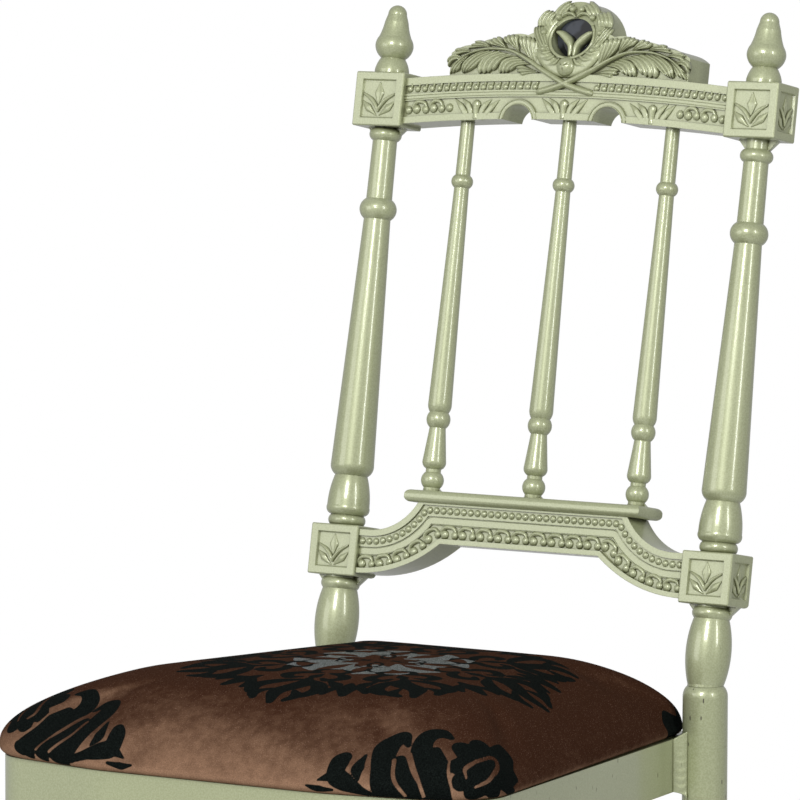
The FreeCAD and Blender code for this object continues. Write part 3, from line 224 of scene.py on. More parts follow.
def ring_faces(steps, columns):
    """Faces between rings of so many columns each."""
    faces = []
    for i in range(steps - 1):
        for j in range(columns):
            k = (j + 1) % columns
            faces.append([i * columns + j, i * columns + k, (i + 1) * columns + k, (i + 1) * columns + j])
    return faces


def tube_faces(steps, columns):
    """Faces of a form of rings that is closed at both ends."""
    last = (steps - 1) * columns
    ends = [list(range(columns)), list(range(last, last + columns))[::-1]]
    return ring_faces(steps, columns) + ends


def dome_faces(steps, columns):
    """Faces of a form of rings on a flat base that closes in one last point."""
    last, top = (steps - 1) * columns, steps * columns
    fan = [[last + j, last + (j + 1) % columns, top] for j in range(columns)]
    return [list(range(columns))[::-1]] + ring_faces(steps, columns) + fan


def into_scene(name, data):
    """A new object made of a mesh, lamp or lens."""
    made = bpy.data.objects.new(name, data)
    bpy.context.scene.collection.objects.link(made)
    return made


class Relief:
    """Carved forms gathered into one mesh: across, forward and up, in mm."""

    def __init__(self):
        self.points = []
        self.faces = []
        self.count = 0

    def keep(self, points, faces):
        self.points.append(points)
        self.faces += [[i + self.count for i in face] for face in faces]
        self.count += len(points)

    def ridge(self, path, halves, rises, face, flutes=0, groove=0.45, steps=16, columns=11):
        """A rounded blade along a line, with grooves along it where it is fluted."""
        line = smooth_line(path, steps)
        heading = np.gradient(line, axis=0)
        heading /= np.linalg.norm(heading, axis=1)[:, None] + 1e-9
        aside = np.stack([-heading[:, 1], heading[:, 0]], axis=-1)
        share = np.linspace(-1, 1, columns)
        profile = np.sqrt(np.clip(1 - share ** 2, 0, 1))
        if flutes:
            profile = profile * (1 - groove * np.cos(share * math.pi * flutes / 2) ** 2)
        half, rise = along(halves, steps), along(rises, steps)
        flat = line[:, None, :] + aside[:, None, :] * share[None, :, None] * half[:, None, None]
        forward = face - BEDDING + (rise[:, None] + BEDDING) * profile[None, :]
        points = np.stack([flat[..., 0], forward, flat[..., 1]], axis=-1).reshape(-1, 3)
        self.keep(points, tube_faces(steps, columns))

    def fan(self, first, last, count, swell, rise, face, lift=0.0, groove=0.34):
        """A fluted leaf between its first and last rib. Its middle ribs reach further by the swell."""
        steps, columns = 22, 8 * count + 1
        first, last = smooth_line(first, steps), smooth_line(last, steps)
        margin = 0.5 / max(count - 1, 1)
        place = np.linspace(0, 1, columns)
        share = place * (1 + 2 * margin) - margin
        lobes = np.abs(np.sin(math.pi * count * place))
        flat = first[:, None, :] + (last - first)[:, None, :] * share[None, :, None]
        reach = flat[-1] - flat[-4]
        reach = reach / np.linalg.norm(reach, axis=1)[:, None]
        u = np.linspace(0, 1, steps)
        spread = swell * np.sin(math.pi * place) + 2.0 * lobes - 1.0
        flat = flat + (u ** 3)[:, None, None] * spread[None, :, None] * reach[None, :, :]
        body = 0.5 + 0.5 * np.sin(math.pi / 2 * np.clip(u / 0.5, 0, 1))
        tip = np.sqrt(1 - (np.clip(u - 0.78, 0, 1) / 0.22) ** 2)
        across = np.sqrt(1 - np.abs(2 * place - 1) ** 5) * (1 - groove * (1 - lobes) ** 1.3)
        forward = face - BEDDING + (rise + BEDDING) * (body * tip)[:, None] * across[None, :]
        points = np.stack([flat[..., 0], forward, flat[..., 1] + lift], axis=-1).reshape(-1, 3)
        self.keep(points, tube_faces(steps, columns))

    def dome(self, across, up, wide, tall, rise, face, rings=5, spokes=16):
        """A ball half sunk into what carries it."""
        turn = np.linspace(0, 2 * math.pi, spokes, endpoint=False)
        points = []
        for i in range(rings):
            lift = i / rings * math.pi / 2
            x = across + wide * math.cos(lift) * np.cos(turn)
            t = up + tall * math.cos(lift) * np.sin(turn)
            f = np.full(spokes, face - BEDDING + (rise + BEDDING) * math.sin(lift))
            points.append(np.stack([x, f, t], axis=-1))
        points.append(np.array([[across, face + rise, up]]))
        self.keep(np.vstack(points), dome_faces(rings, spokes))

    def mirror(self):
        """Adds the mirror image of everything so far."""
        points = np.vstack(self.points) * np.array([-1, 1, 1])
        self.keep(points, [face[::-1] for face in self.faces])

    def piece(self, name, places=(lambda points: points,)):
        """The finished mesh, set once at each of the places on the upright back."""
        points = np.vstack(self.points)
        set_points = np.vstack([leaned(place(points)) for place in places])
        set_faces = []
        for i in range(len(places)):
            set_faces += [[k + i * len(points) for k in face] for face in self.faces]
        return metal_piece(name, set_points, set_faces)


def metal_piece(name, points, faces):
    """A cast or welded detail of the frame."""
    mesh = bpy.data.meshes.new(name)
    mesh.from_pydata(points.tolist(), [], faces)
    work = bmesh.new()
    work.from_mesh(mesh)
    bmesh.ops.recalc_face_normals(work, faces=work.faces)
    work.to_mesh(mesh)
    work.free()
    mesh.shade_smooth()
    mesh.materials.append(lacquer)
    made = into_scene(name, mesh)
    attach(made, "root")
    return made


def tulip_relief():
    relief = Relief()
    arm = [(13.7, 3.8), (6.2, -0.4), (1.0, -6.4), (0.0, -9.5)]
    relief.ridge(arm, (0.8, 1.7, 1.7, 0.8), (1.2, 2.1, 2.4, 1.8), 0, steps=20)
    leaf = [(14.0, -1.5), (8.5, -6.5), (1.2, -12.0)]
    relief.ridge(leaf, (0.5, 3.3, 0.4), (0.5, 1.9, 0.6), 0, steps=18)
    relief.mirror()
    bud = [(0, -4.5), (0, 4), (0, 12.3)]
    relief.ridge(bud, (0.3, 4.6, 0.3), (0.8, 1.9, 0.5), 0, flutes=1, steps=20)
    return relief


def block_tulips():
    half_depth, sink, squeezed = 15.75, 2.0, 0.72
    for name, level, half_width, tall in (("lower", 79.75, 22.0, 1.0), ("top", 433.25, 22.5, 1.08)):
        places = []
        for sign in (-1, 1):
            for front_sheen in (-1, 1):
                def broad(points, sign=sign, front_sheen=front_sheen):
                    across = sign * LEG_X + front_sheen * tall * points[:, 0]
                    forward = front_sheen * (half_depth - sink + points[:, 1])
                    return np.stack([across, forward, level + tall * points[:, 2]], axis=-1)
                places.append(broad)

            def narrow(points, sign=sign):
                across = sign * (LEG_X + half_width - sink + points[:, 1])
                forward = -sign * squeezed * points[:, 0]
                return np.stack([across, forward, level + tall * points[:, 2]], axis=-1)
            places.append(narrow)
        tulip_relief().piece(name + "_block_tulips", places)


block_tulips()
for side in SIDES:
    wears(lacquer, "lower_block_" + side, "top_block_" + side)


# Back posts and finials.
# Turned aluminium columns with rings, bells and beads, tapered towards the top and welded between the
# blocks, and turned knobs on the upper blocks.

for side in SIDES:
    wears(lacquer, "back_post_" + side, "finial_" + side)


# Crest rail.
# A cast aluminium rail arched a little upwards, with a bead row, arches, palmettes and ball scrolls,
# and a carved cresting of two acanthus branches that cross under a wreath with a dark inlay.

RAIL_FACE, RAIL_SUNK, CRESTING_FACE, WREATH_FACE = 11.75, 10.25, 9.75, 11.95
CREST_BASE, CREST_TOP = 414.6, 450.2
CREST_HALF, CAMBER = LEG_X - 22.5, 6.8
ARCH_OFFSET, ARCH_DROP, ARCH_RIM_LINES = 0.24 * LEG_X, 2.0, (14.0, 17.2)
MEDALLION_LEAN, MEDALLION_HINGE, OPENING_MIDDLE = math.radians(14.0), 20.47, 35.4
CAMBER_RADIUS = (CREST_HALF ** 2 + CAMBER ** 2) / (2 * CAMBER)


def camber(x):
    return math.sqrt(CAMBER_RADIUS ** 2 - x * x) - CAMBER_RADIUS + CAMBER


def crest_beads():
    """A bead row with a short stub from each bead up to the rim, open where the branches cross."""
    relief = Relief()
    first, last, count, row, end_lift = 28.0, 143.2, 18, 25.2, 1.8
    for sign in (-1, 1):
        for x in sign * np.linspace(first, last, count):
            level = CREST_BASE + row + end_lift * (x / last) ** 4 + camber(x)
            relief.dome(x, level, 2.75, 2.8, 2.2, RAIL_SUNK)
            stub = [(x + 1.6, level + 0.6), (x + 2.3, level + 4.1)]
            relief.ridge(stub, (0.9, 1.3), (1.5, 1.9), RAIL_SUNK, steps=4, columns=7)
    relief.piece("crest_beads")


def crest_lines():
    """Fine raised lines along the flat bands."""
    relief = Relief()
    for rise in (18.9, 21.4):
        path = [(x, CREST_BASE + rise + camber(x)) for x in np.linspace(-CREST_HALF, CREST_HALF, 9)]
        relief.ridge(path, (0.45,), (0.45,), RAIL_FACE, steps=60, columns=7)
    for arch in (-ARCH_OFFSET, ARCH_OFFSET):
        middle = CREST_BASE + camber(arch) - ARCH_DROP
        for radius in ARCH_RIM_LINES:
            start = math.asin(ARCH_DROP / radius)
            turns = np.linspace(start, math.pi - start, 17)
            path = [(arch + radius * math.cos(turn), middle + radius * math.sin(turn)) for turn in turns]
            relief.ridge(path, (0.6,), (0.8,), RAIL_FACE, steps=40, columns=7)
    relief.piece("crest_lines")


def ball_scroll(relief, x, t, face, heading=0.0, apart=9.4):
    """Two balls bridged by a curl that climbs from the first and falls onto the second."""
    turn = np.array([[math.cos(heading), -math.sin(heading)], [math.sin(heading), math.cos(heading)]])
    half = apart / 2

    def spot(a, b):
        return turn @ np.array([a, b]) + np.array([x, t])
    for a, size in ((-half, 3.7), (half, 3.4)):
        ball = spot(a, -1.0)
        relief.dome(ball[0], ball[1], size, size * 1.05, 2.7, face)
    curl = [(-half - 2.7, -1.6), (-half - 2.6, 1.8), (-half + 0.4, 4.5),
            (-0.4, 4.9), (half - 1.0, 3.9), (half + 1.2, 1.0)]
    halves, rises = (0.8, 1.6, 1.9, 1.9, 1.8, 1.0), (1.6, 2.3, 2.6, 2.5, 2.5, 2.0)
    relief.ridge([spot(a, b) for a, b in curl], halves, rises, face, steps=26, columns=9)


def palmette(relief, x):
    """A rounded club between two pairs of outswept blades."""
    foot = CREST_BASE + camber(x)
    club = [(x, foot + rise) for rise in (0.8, 5.0, 8.5, 11.6, 14.0, 15.8)]
    halves, rises = (3.0, 2.8, 3.2, 4.2, 3.8, 1.1), (2.2, 2.2, 2.6, 3.0, 2.6, 1.0)
    relief.ridge(club, halves, rises, RAIL_SUNK, steps=30, columns=13)
    halves, rises = (1.4, 2.9, 2.7, 0.3), (1.6, 2.3, 2.3, 0.8)
    for sign in (-1, 1):
        inner = [(3.6, 0.8), (5.4, 7.4), (8.4, 12.0), (13.6, 16.4)]
        outer = [(5.6, 0.6), (10.4, 6.0), (14.6, 10.8), (20.6, 16.2)]
        for blade in (inner, outer):
            path = [(x + sign * a, foot + b) for a, b in blade]
            relief.ridge(path, halves, rises, RAIL_SUNK, flutes=1, groove=0.25, steps=22)


def crest_frieze():
    relief = Relief()
    for sign in (-1, 1):
        for x, apart in ((116.0, 7.5), (131.2, 8.6)):
            ball_scroll(relief, sign * x, CREST_BASE + 11.4 + camber(x), RAIL_SUNK, 0.0, apart)
        for x in (105.0, 142.6):
            relief.dome(sign * x, CREST_BASE + 10.4 + camber(x), 3.3, 3.5, 2.7, RAIL_SUNK)
    for x in (-80.0, 0.0, 80.0):
        palmette(relief, x)
    relief.piece("crest_frieze")


def acanthus():
    """Both branches of the cresting, drawn for the right-hand side from the top of the rail."""
    relief = Relief()
    leaves = (
        (((33.3, 16.3), (39.9, 22.9), (44.5, 29.4), (45.4, 34.0)),
         ((28.1, 13.4), (28.3, 20.5), (29.0, 26.4), (29.3, 31.3)), 5, 2.1),
        (((46.0, 22.5), (52.4, 27.6), (57.9, 30.2), (59.9, 33.5)),
         ((45.0, 22.6), (46.6, 27.7), (48.1, 32.1), (48.7, 34.8)), 4, 1.9),
        (((57.3, 25.1), (63.6, 27.0), (70.4, 28.4), (73.0, 31.0)),
         ((56.6, 25.1), (60.3, 29.0), (63.6, 31.8), (65.4, 33.8)), 3, 0.9),
        (((70.9, 25.1), (78.8, 26.2), (86.8, 25.6), (91.5, 25.2)),
         ((70.9, 25.6), (75.7, 28.4), (81.6, 30.0), (85.6, 30.4)), 3, 1.0),
        (((87.4, 22.0), (94.2, 22.0), (100.2, 20.9), (104.2, 19.6)),
         ((88.1, 22.2), (94.8, 23.9), (100.6, 23.9), (103.8, 23.0)), 2, 0.0),
        (((97.8, 16.3), (102.8, 16.4), (107.0, 14.3), (109.4, 10.8)),
         ((97.0, 17.2), (103.2, 19.0), (108.2, 17.0), (110.2, 13.8)), 2, 0.0),
        (((89.3, 21.1), (96.0, 17.4), (103.2, 11.8), (107.0, 5.1)),
         ((93.3, 16.9), (96.8, 13.0), (98.4, 10.2), (101.0, 6.9)), 3, 0.6),
        (((78.5, 23.5), (87.7, 19.2), (94.8, 13.1), (96.0, 6.4)),
         ((66.1, 23.0), (77.7, 17.2), (84.8, 11.1), (90.5, 6.8)), 4, 1.0),
        (((65.5, 23.5), (75.3, 18.4), (80.3, 11.7), (80.0, 6.2)),
         ((48.9, 20.0), (58.4, 18.2), (64.3, 13.2), (66.7, 9.0)), 4, 1.6),
        (((46.9, 19.5), (56.9, 16.6), (60.8, 11.6), (61.2, 6.7)),
         ((35.9, 14.0), (42.9, 13.1), (47.9, 11.3), (50.8, 8.5)), 4, 1.4),
        (((25.9, 7.7), (32.8, 9.5), (39.5, 11.5), (45.9, 10.8)),
         ((25.5, 7.0), (31.3, 6.9), (37.6, 6.0), (40.0, 5.4)), 3, 2.4),
    )
    for first, last, count, swell in leaves:
        relief.fan(first, last, count, swell, 4.0, CRESTING_FACE, CREST_TOP)
    stem = [(-23.6, -7.7), (-11.5, -4.6), (0, -0.9), (13, 5.0), (26.5, 11.8), (39.1, 18.6), (52.6, 23.8),
            (66.0, 25.0), (78.5, 24.1), (92.4, 19.7), (102.1, 13.4), (106.2, 10.1)]
    stem = [(x, CREST_TOP + t) for x, t in stem]
    halves = (2.9, 3.1, 3.0, 2.8, 2.4, 1.8, 1.5, 1.3, 1.2, 1.0, 0.9, 0.5)
    rises = (4.8, 5.4, 6.2, 5.8, 5.2, 4.8, 4.6, 4.5, 4.4, 4.2, 3.8, 2.8)
    relief.ridge(stem, halves, rises, CRESTING_FACE, steps=72)
    relief.dome(stem[0][0], stem[0][1], 2.9, 2.9, 4.7, CRESTING_FACE)
    relief.mirror()
    relief.piece("crest_acanthus")


def wreath():
    """Ribbed leaves and berries wrapped round the opening, on a face that leans back."""
    relief = Relief()
    middle = CREST_TOP + OPENING_MIDDLE
    leaves = (
        (((16.5, 17.6), (27.0, 28.2), (32.6, 35.4), (35.5, 42.4)),
         ((18.8, 26.5), (22.5, 33.0), (25.5, 38.5), (28.8, 43.5)), 4, 0.8),
        (((32.4, 43.8), (32.6, 48.0), (30.8, 52.4), (27.6, 56.4)),
         ((21.5, 44.6), (21.6, 48.0), (20.2, 51.5), (18.2, 54.3)), 4, 0.6),
        (((20.5, 51.6), (18.0, 57.0), (14.5, 61.0), (9.6, 64.2)),
         ((11.5, 52.0), (10.0, 55.5), (7.8, 58.6), (5.6, 60.6)), 3, 0.5),
    )
    for first, last, count, swell in leaves:
        relief.fan(first, last, count, swell, 3.6, 0, CREST_TOP)
    for x, t in ((22.2, 25.4), (25.4, 39.0), (15.5, 51.4), (4.4, 57.8)):
        relief.dome(x, CREST_TOP + t, 2.8, 2.8, 5.2, 0)
    for turn in np.radians((-66, -50, -34, -18)):
        flute = [(reach * math.cos(turn + slant), OPENING_MIDDLE + squash * reach * math.sin(turn + slant))
                 for reach, slant, squash in ((20.8, -0.1, 0.88), (25.5, 0.0, 0.9), (30.6, 0.22, 0.92))]
        relief.ridge([(x, CREST_TOP + t) for x, t in flute], (1.0, 2.3, 0.8), (2.4, 3.3, 1.6), 0, steps=14)
    scroll = [(x, CREST_TOP + t) for x, t in ((0.6, 51.8), (4.4, 54.6), (9.4, 54.4), (13.4, 51.6))]
    relief.ridge(scroll, (0.8, 1.5, 1.5, 0.8), (2.6, 3.6, 3.6, 2.6), 0, steps=20)
    relief.mirror()
    turns = np.radians(np.linspace(-215, 35, 25))
    rim = [(19.6 * math.cos(turn), middle + 16.7 * math.sin(turn)) for turn in turns]
    relief.ridge(rim, (1.5,), (1.4,), 0, steps=72, columns=9)
    turns = np.radians(np.linspace(-235, 55, 33))
    body = [(26.0 * math.cos(turn), CREST_TOP + 34.0 + 24.0 * math.sin(turn)) for turn in turns]
    relief.ridge(body, (4.0, 7.0, 7.0, 7.0, 4.0), (1.0, 2.0, 2.0, 2.0, 1.0), 0, steps=90)

    def lean(points):
        back = math.tan(MEDALLION_LEAN) * np.clip(points[:, 2] - CREST_TOP - MEDALLION_HINGE, 0, None)
        return points + np.stack([0 * back, WREATH_FACE - back, 0 * back], axis=-1)
    relief.piece("crest_wreath", [lean])


def rosette():
    """A round bud with a three-way crease, under the wreath."""
    relief = Relief()
    middle, wide, tall, rise, depth = CREST_TOP + 12.0, 8.4, 7.8, 7.0, 1.7
    relief.dome(0, middle, wide, tall, rise, WREATH_FACE, rings=14, spokes=48)
    points = relief.points[0]
    turn = np.arctan2(points[:, 2] - middle, points[:, 0])
    reach = np.hypot(points[:, 0] / wide, (points[:, 2] - middle) / tall)
    crease = np.exp(-(np.sin(1.5 * (turn + math.pi / 2)) / 0.2) ** 2) * np.exp(-((reach - 0.3) / 0.4) ** 2)
    points[:, 1] -= depth * crease
    relief.piece("crest_rosette")


def tulip():
    """Two curved petals that cross the opening in front of the dark inlay."""
    relief = Relief()
    middle, pocket = CREST_TOP + OPENING_MIDDLE, 11.5
    floor = WREATH_FACE - pocket
    petal = [(1.9, -14.6), (2.7, -6.3), (6.6, -1.2), (12.4, 3.2), (16.4, 4.6)]
    petal = [(x, middle + t) for x, t in petal]
    halves, rises = (2.3, 3.3, 3.9, 3.2, 1.7), (8.7, 8.2, 7.8, 7.2, 6.8)
    relief.ridge(petal, halves, rises, floor, flutes=1, groove=0.12, steps=30, columns=15)
    relief.mirror()
    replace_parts(relief.piece("medallion_petals"), "medallion_tulip")


crest_beads()
crest_lines()
crest_frieze()
acanthus()
wreath()
rosette()
tulip()
wears(lacquer, "crest_rail")


def dark_inlay():
    finish, place = new_finish("dark_inlay")
    # painted reflection: lighter blue-grey streaks across the dark inlay, which are also a little rougher
    reflection_streak = place.noise(60.0).step(0.45, 0.6)
    place.surface({
        "Base Color": reflection_streak.mix(tint(26, 28, 30), tint(66, 70, 78)),
        "Roughness": 0.08 + reflection_streak * 0.1,
        "Specular IOR Level": 0.2,
    })
    return finish


wears(dark_inlay(), "medallion_inlay")


# Lower back rail and its bar.
# A cast aluminium rail that rises in a flat arch between the lower blocks, with a bead row and a running
# scroll that follow its contours. A moulded bar welded on top of it carries the spindles.

RAIL_END = LEG_X - 22.0
TOP_LEVEL, TOP_LIFT, TOP_RADIUS, TOP_LAND = 124.4, 27.4, 50.0, 9.5
ARCH_LEVEL, ARCH_LIFT, ARCH_FLAT, FOOT_BAND = 90.0, 27.0, 0.848 * LEG_X, 4.0
BEAD_FLOOR, MIDDLE_FLOOR, FRIEZE_FLOOR = 12.25, 11.45, 10.65


def rail_contour(radius, level, lift, inset, land, steps=40):
    """Points along a contour of the rail: a level middle between two arcs that settle near the blocks."""
    centre_x, centre_t = RAIL_END - land, level - lift + radius
    reach = radius + inset
    start = -math.acos((centre_t - level + inset) / reach)
    turns = np.linspace(start, 0, steps)
    arc = np.stack([centre_x + reach * np.sin(turns), centre_t - reach * np.cos(turns)], axis=-1)
    right = np.vstack([arc, [[RAIL_END, centre_t - reach]]]) if land else arc
    left = right[::-1] * np.array([-1, 1])
    middle = np.linspace(left[-1], right[0], 2 * steps)
    return np.vstack([left, middle[1:-1], right])


def top_contour(inset):
    return rail_contour(TOP_RADIUS, TOP_LEVEL, TOP_LIFT, inset, TOP_LAND)


def under_contour(rise):
    run = RAIL_END - ARCH_FLAT / 2
    radius = (run * run + ARCH_LIFT * ARCH_LIFT) / (2 * ARCH_LIFT)
    return rail_contour(radius, ARCH_LEVEL, ARCH_LIFT, -rise, 0)


def run_along(line):
    """The distance along a line to each of its points."""
    return np.concatenate([[0], np.cumsum(np.linalg.norm(np.diff(line, axis=0), axis=1))])


def points_at(line, run, where):
    """The points at the given distances along a line."""
    return np.stack([np.interp(where, run, line[:, k]) for k in (0, 1)], axis=-1)


def evenly(line, count, closed=False):
    """Points spread evenly along a line. A closed one ends where it began, so its last point is left out."""
    run = run_along(line)
    return points_at(line, run, np.linspace(0, run[-1], count, endpoint=not closed))


def stations(line, pitch, margin):
    """Evenly spaced places along a line, each with its heading."""
    fine, reach = evenly(line, 1600), 3.0
    run = run_along(fine)
    count = round((run[-1] - 2 * margin) / pitch)
    found = []
    for distance in np.linspace(margin, run[-1] - margin, count + 1):
        behind, here, ahead = points_at(fine, run, distance + np.array([-reach, 0, reach]))
        found.append((here[0], here[1], math.atan2(ahead[1] - behind[1], ahead[0] - behind[0])))
    return found


def lower_rail_carving():
    relief = Relief()
    bead_inset, bead_pitch, bead_margin, bead_radius, bead_rise = 9.0, 6.3, 3.2, 2.85, 2.1
    scroll_pitch, scroll_margin, scroll_drop = 16.4, 8.2, 1.2
    upper_line, lower_line, line_half = 13.5, 19.2, 0.5
    for x, t, heading in stations(top_contour(bead_inset), bead_pitch, bead_margin):
        relief.dome(x, t, bead_radius, bead_radius, bead_rise, BEAD_FLOOR)
    frieze = (evenly(top_contour(lower_line), 400) + evenly(under_contour(FOOT_BAND), 400)) / 2
    for x, t, heading in stations(frieze, scroll_pitch, scroll_margin):
        ball_scroll(relief, x, t - scroll_drop, FRIEZE_FLOOR, heading)
    for inset in (upper_line, lower_line):
        line = evenly(top_contour(inset + line_half), 60)
        relief.ridge(line, (line_half,), (line_half,), MIDDLE_FLOOR, steps=160, columns=5)
    relief.piece("lower_rail_carving")


lower_rail_carving()
wears(lacquer, "lower_back_rail", "spindle_bar")


# Spindles.
# Three slim turned aluminium rods with balls and bells at the foot and a ring below the crest rail,
# welded to the bar and held in the rail above.

wears(lacquer, "spindle_left", "spindle_middle", "spindle_right")


# Seat rails, front legs and stretchers.
# Aluminium box tube bent into a ring under the cushion, turned front legs on plates in its corners,
# and round stretchers saddled onto the legs.

wears(lacquer, "front_rail", "side_rail_left", "side_rail_right", "rear_rail", "leg_plates", "seat_tabs")
for side in SIDES:
    wears(lacquer, "front_leg_" + side, "stretcher_" + side)
wears(lacquer, "stretcher_front", "stretcher_rear")


# Welds.
# Rippled beads where the side rails meet the back legs, and lumpy fillets behind the posts and at the
# feet of the spindles, all lacquered over.

def rippled_strip(rail_point, leg_point, low, high, flare):
    """An upright strip of frozen scales from a rail's end to a leg, drawn out onto the leg at its foot."""
    steps, columns, pitch, depth = 110, 11, 6.0, 4.0
    sag, ripple, top_rise = 3.2, 0.7, 6.0
    rail_point, leg_point = np.array(rail_point), np.array(leg_point)
    run = leg_point - rail_point
    out = np.array([run[1], -run[0]]) / np.linalg.norm(run)
    out = out * np.sign(out[0] * rail_point[0])
    share = np.linspace(0, 1, columns)
    bulge = np.sin(math.pi * share)
    points = []
    for z in np.linspace(low - flare, high, steps):
        drop = np.clip((low - z) / flare, 0, 0.97)
        start = rail_point + run * math.sqrt(1 - (1 - drop) ** 2)
        scale = ((z + sag * bulge) / pitch) % 1
        lift = bulge * (0.2 + ripple * (1.2 - (z - low) / (high - low)) * np.sin(math.pi * scale))
        line = start + (leg_point - start) * share[:, None] + out * lift[:, None]
        ring = np.vstack([line, leg_point - out * depth, start - out * depth])
        rise = top_rise * np.clip((z - low) / (high - low), 0, 1) ** 4
        points.append(np.column_stack([ring, z + rise * np.append(share, (1, 0))]))
    return np.vstack(points) * MM, tube_faces(steps, columns + 2)


def leg_weld_beads():
    low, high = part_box("leg_welds")
    inward, ahead, flare, turn = 4.7, 3.0, 8.0, math.radians(107)
    leg_radius = (leg_high.x - leg_low.x) / 2 / MM
    points, faces = [], []
    for sign in (-1, 1):
        rail_point = (sign * (high.x / MM - inward), low.y / MM - ahead)
        leg_point = (sign * (LEG_X + leg_radius * math.cos(turn)), LEG_Y - leg_radius * math.sin(turn))
        made, made_faces = rippled_strip(rail_point, leg_point, low.z / MM, high.z / MM, flare)
        faces += [[i + len(points) * len(made) for i in face] for face in made_faces]
        points.append(made)
    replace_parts(metal_piece("leg_weld_beads", np.vstack(points), faces), "leg_welds")


leg_weld_beads()
wears(lacquer, "post_welds", "spindle_welds")


# Seat cushion.
# Foam on a plywood board under brown velvet with a black flocked damask and a patch of silver glitter.
# The cover is drawn tight over the crown and tucked in along the apron.

SEAT_HALF, SEAT_DEPTH, BOW_FLAT, BOW_DEPTH = 220.0, 402.0, 200.0, 24.0
OVERHANG, REAR_REACH, LEG_CLEARANCE = 6.5, 16.0, 17.8
BOW_BEND, FRONT_BEND, REAR_BEND = 160.0, 46.0, 20.0
APRON_TOP, WIDEST, CROWN, PEAK = 391.0, 9.0, 61.0, 63.0    # all but the first above the apron
CUSHION_HALF = SEAT_HALF + OVERHANG
CUT = ("cut_across", "cut_up")   # a point's place on the cloth before it was drawn over the foam


def seat_outline(count):
    """The cushion's widest line in plan, as evenly spaced points, and its middle."""
    corner_x, corner_y = CUSHION_HALF, LEG_Y - SEAT_DEPTH + BOW_DEPTH - OVERHANG
    front_y, rear_y = LEG_Y - SEAT_DEPTH - OVERHANG, LEG_Y + REAR_REACH
    across, run = corner_x - LEG_X, LEG_Y - corner_y
    taper = math.tan(math.atan2(across, run) + math.asin(LEG_CLEARANCE / math.hypot(across, run)))
    rear_x = corner_x - (rear_y - corner_y) * taper
    right = [(BOW_FLAT / 2, front_y), (corner_x, corner_y), (rear_x, rear_y)]
    corners = np.array(right + [(-x, y) for x, y in reversed(right)])
    radii = (BOW_BEND, FRONT_BEND, REAR_BEND, REAR_BEND, FRONT_BEND, BOW_BEND)
    line = []
    for i, here in enumerate(corners):
        to_last, to_next = corners[i - 1] - here, corners[(i + 1) % 6] - here
        to_last, to_next = to_last / np.linalg.norm(to_last), to_next / np.linalg.norm(to_next)
        half = math.acos(np.clip(to_last @ to_next, -1, 1)) / 2
        inward = (to_last + to_next) / np.linalg.norm(to_last + to_next)
        centre = here + inward * radii[i] / math.sin(half)
        for share in np.linspace(0, 1, 24):
            spoke = (here + to_last * radii[i] / math.tan(half)) * (1 - share)
            spoke = spoke + (here + to_next * radii[i] / math.tan(half)) * share - centre
            line.append(centre + spoke / np.linalg.norm(spoke) * radii[i])
    even = evenly(np.array(line + line[:1]), count, closed=True)
    return even, np.array([0.0, (front_y + rear_y) / 2])


def cushion_levels():
    """Height above the apron and inset from the widest line, from the tucked edge to the crown."""
    levels = [(0.3, 14.0), (0.3, 6.5), (1.6, 3.2), (4.5, 1.0), (WIDEST, 0.0)]
    reach, fullness, swell = 168.0, 2.15, 1.5
    for turn in np.linspace(0, math.pi / 2, 17)[1:]:
        inset = reach * (1 - math.cos(turn))
        rise = (1 - (1 - inset / reach) ** fullness) ** (1 / fullness)
        levels.append((WIDEST + (CROWN - WIDEST) * rise, inset))
    for share in (0.66, 0.33):
        levels.append((CROWN + swell * (1 - share ** 2), reach + (CUSHION_HALF - reach) * (1 - share)))
    return levels


def seat_cage():
    """The cover's coarse mesh, with each point's place on the cloth as it was cut."""
    spokes = 120
    outline, middle = seat_outline(spokes)
    rows = []
    for height, inset in cushion_levels():
        flat = middle + (outline - middle) * (1 - inset / CUSHION_HALF)
        rows.append(np.column_stack([flat, np.full(spokes, APRON_TOP + height)]))
    crown = np.array([[middle[0], middle[1], APRON_TOP + PEAK]])
    outward = (outline - middle) / np.linalg.norm(outline - middle, axis=1)[:, None]
    reach = np.linalg.norm(rows[-1] - crown, axis=1)
    cloth = [outward * reach[:, None]]
    for inner, outer in zip(rows[:0:-1], rows[-2::-1]):
        reach = reach + np.linalg.norm(outer - inner, axis=1)
        cloth.append(outward * reach[:, None])
    points = np.vstack(rows + [crown])
    cut = np.vstack(cloth[::-1] + [np.zeros((1, 2))])
    return points, dome_faces(len(rows), spokes), cut


class Damask:
    """Strokes of flock on the flat cloth, in mm. Each stroke is a line with a changing half width."""

    def __init__(self):
        self.black = []
        self.bare = []
        self.silver = []

    def spray(self, layer, strokes, base, turn, scale=1.0, hand=1):
        """Sets a group of strokes at a base point, turned in degrees from pointing up the cloth."""
        angle = math.radians(turn)
        across = np.array([math.cos(angle), math.sin(angle)]) * scale * hand
        up = np.array([-math.sin(angle), math.cos(angle)]) * scale
        for path, halves in strokes:
            placed = [np.asarray(base) + across * p + up * q for p, q in path]
            layer.append((smooth_line(placed, 40), along(halves, 40) * scale))

    @staticmethod
    def distance(layer, spots, limit=8.0):
        """Distance of each spot from the nearest stroke's edge, negative inside it."""
        found = np.full(len(spots), limit)
        for line, half in layer:
            low, high = line.min(0) - half.max() - limit, line.max(0) + half.max() + limit
            near = np.where(np.all((spots > low) & (spots < high), axis=1))[0]
            for centre, radius in zip(line, half):
                gap = np.linalg.norm(spots[near] - centre, axis=1) - radius
                found[near] = np.minimum(found[near], gap)
        return found


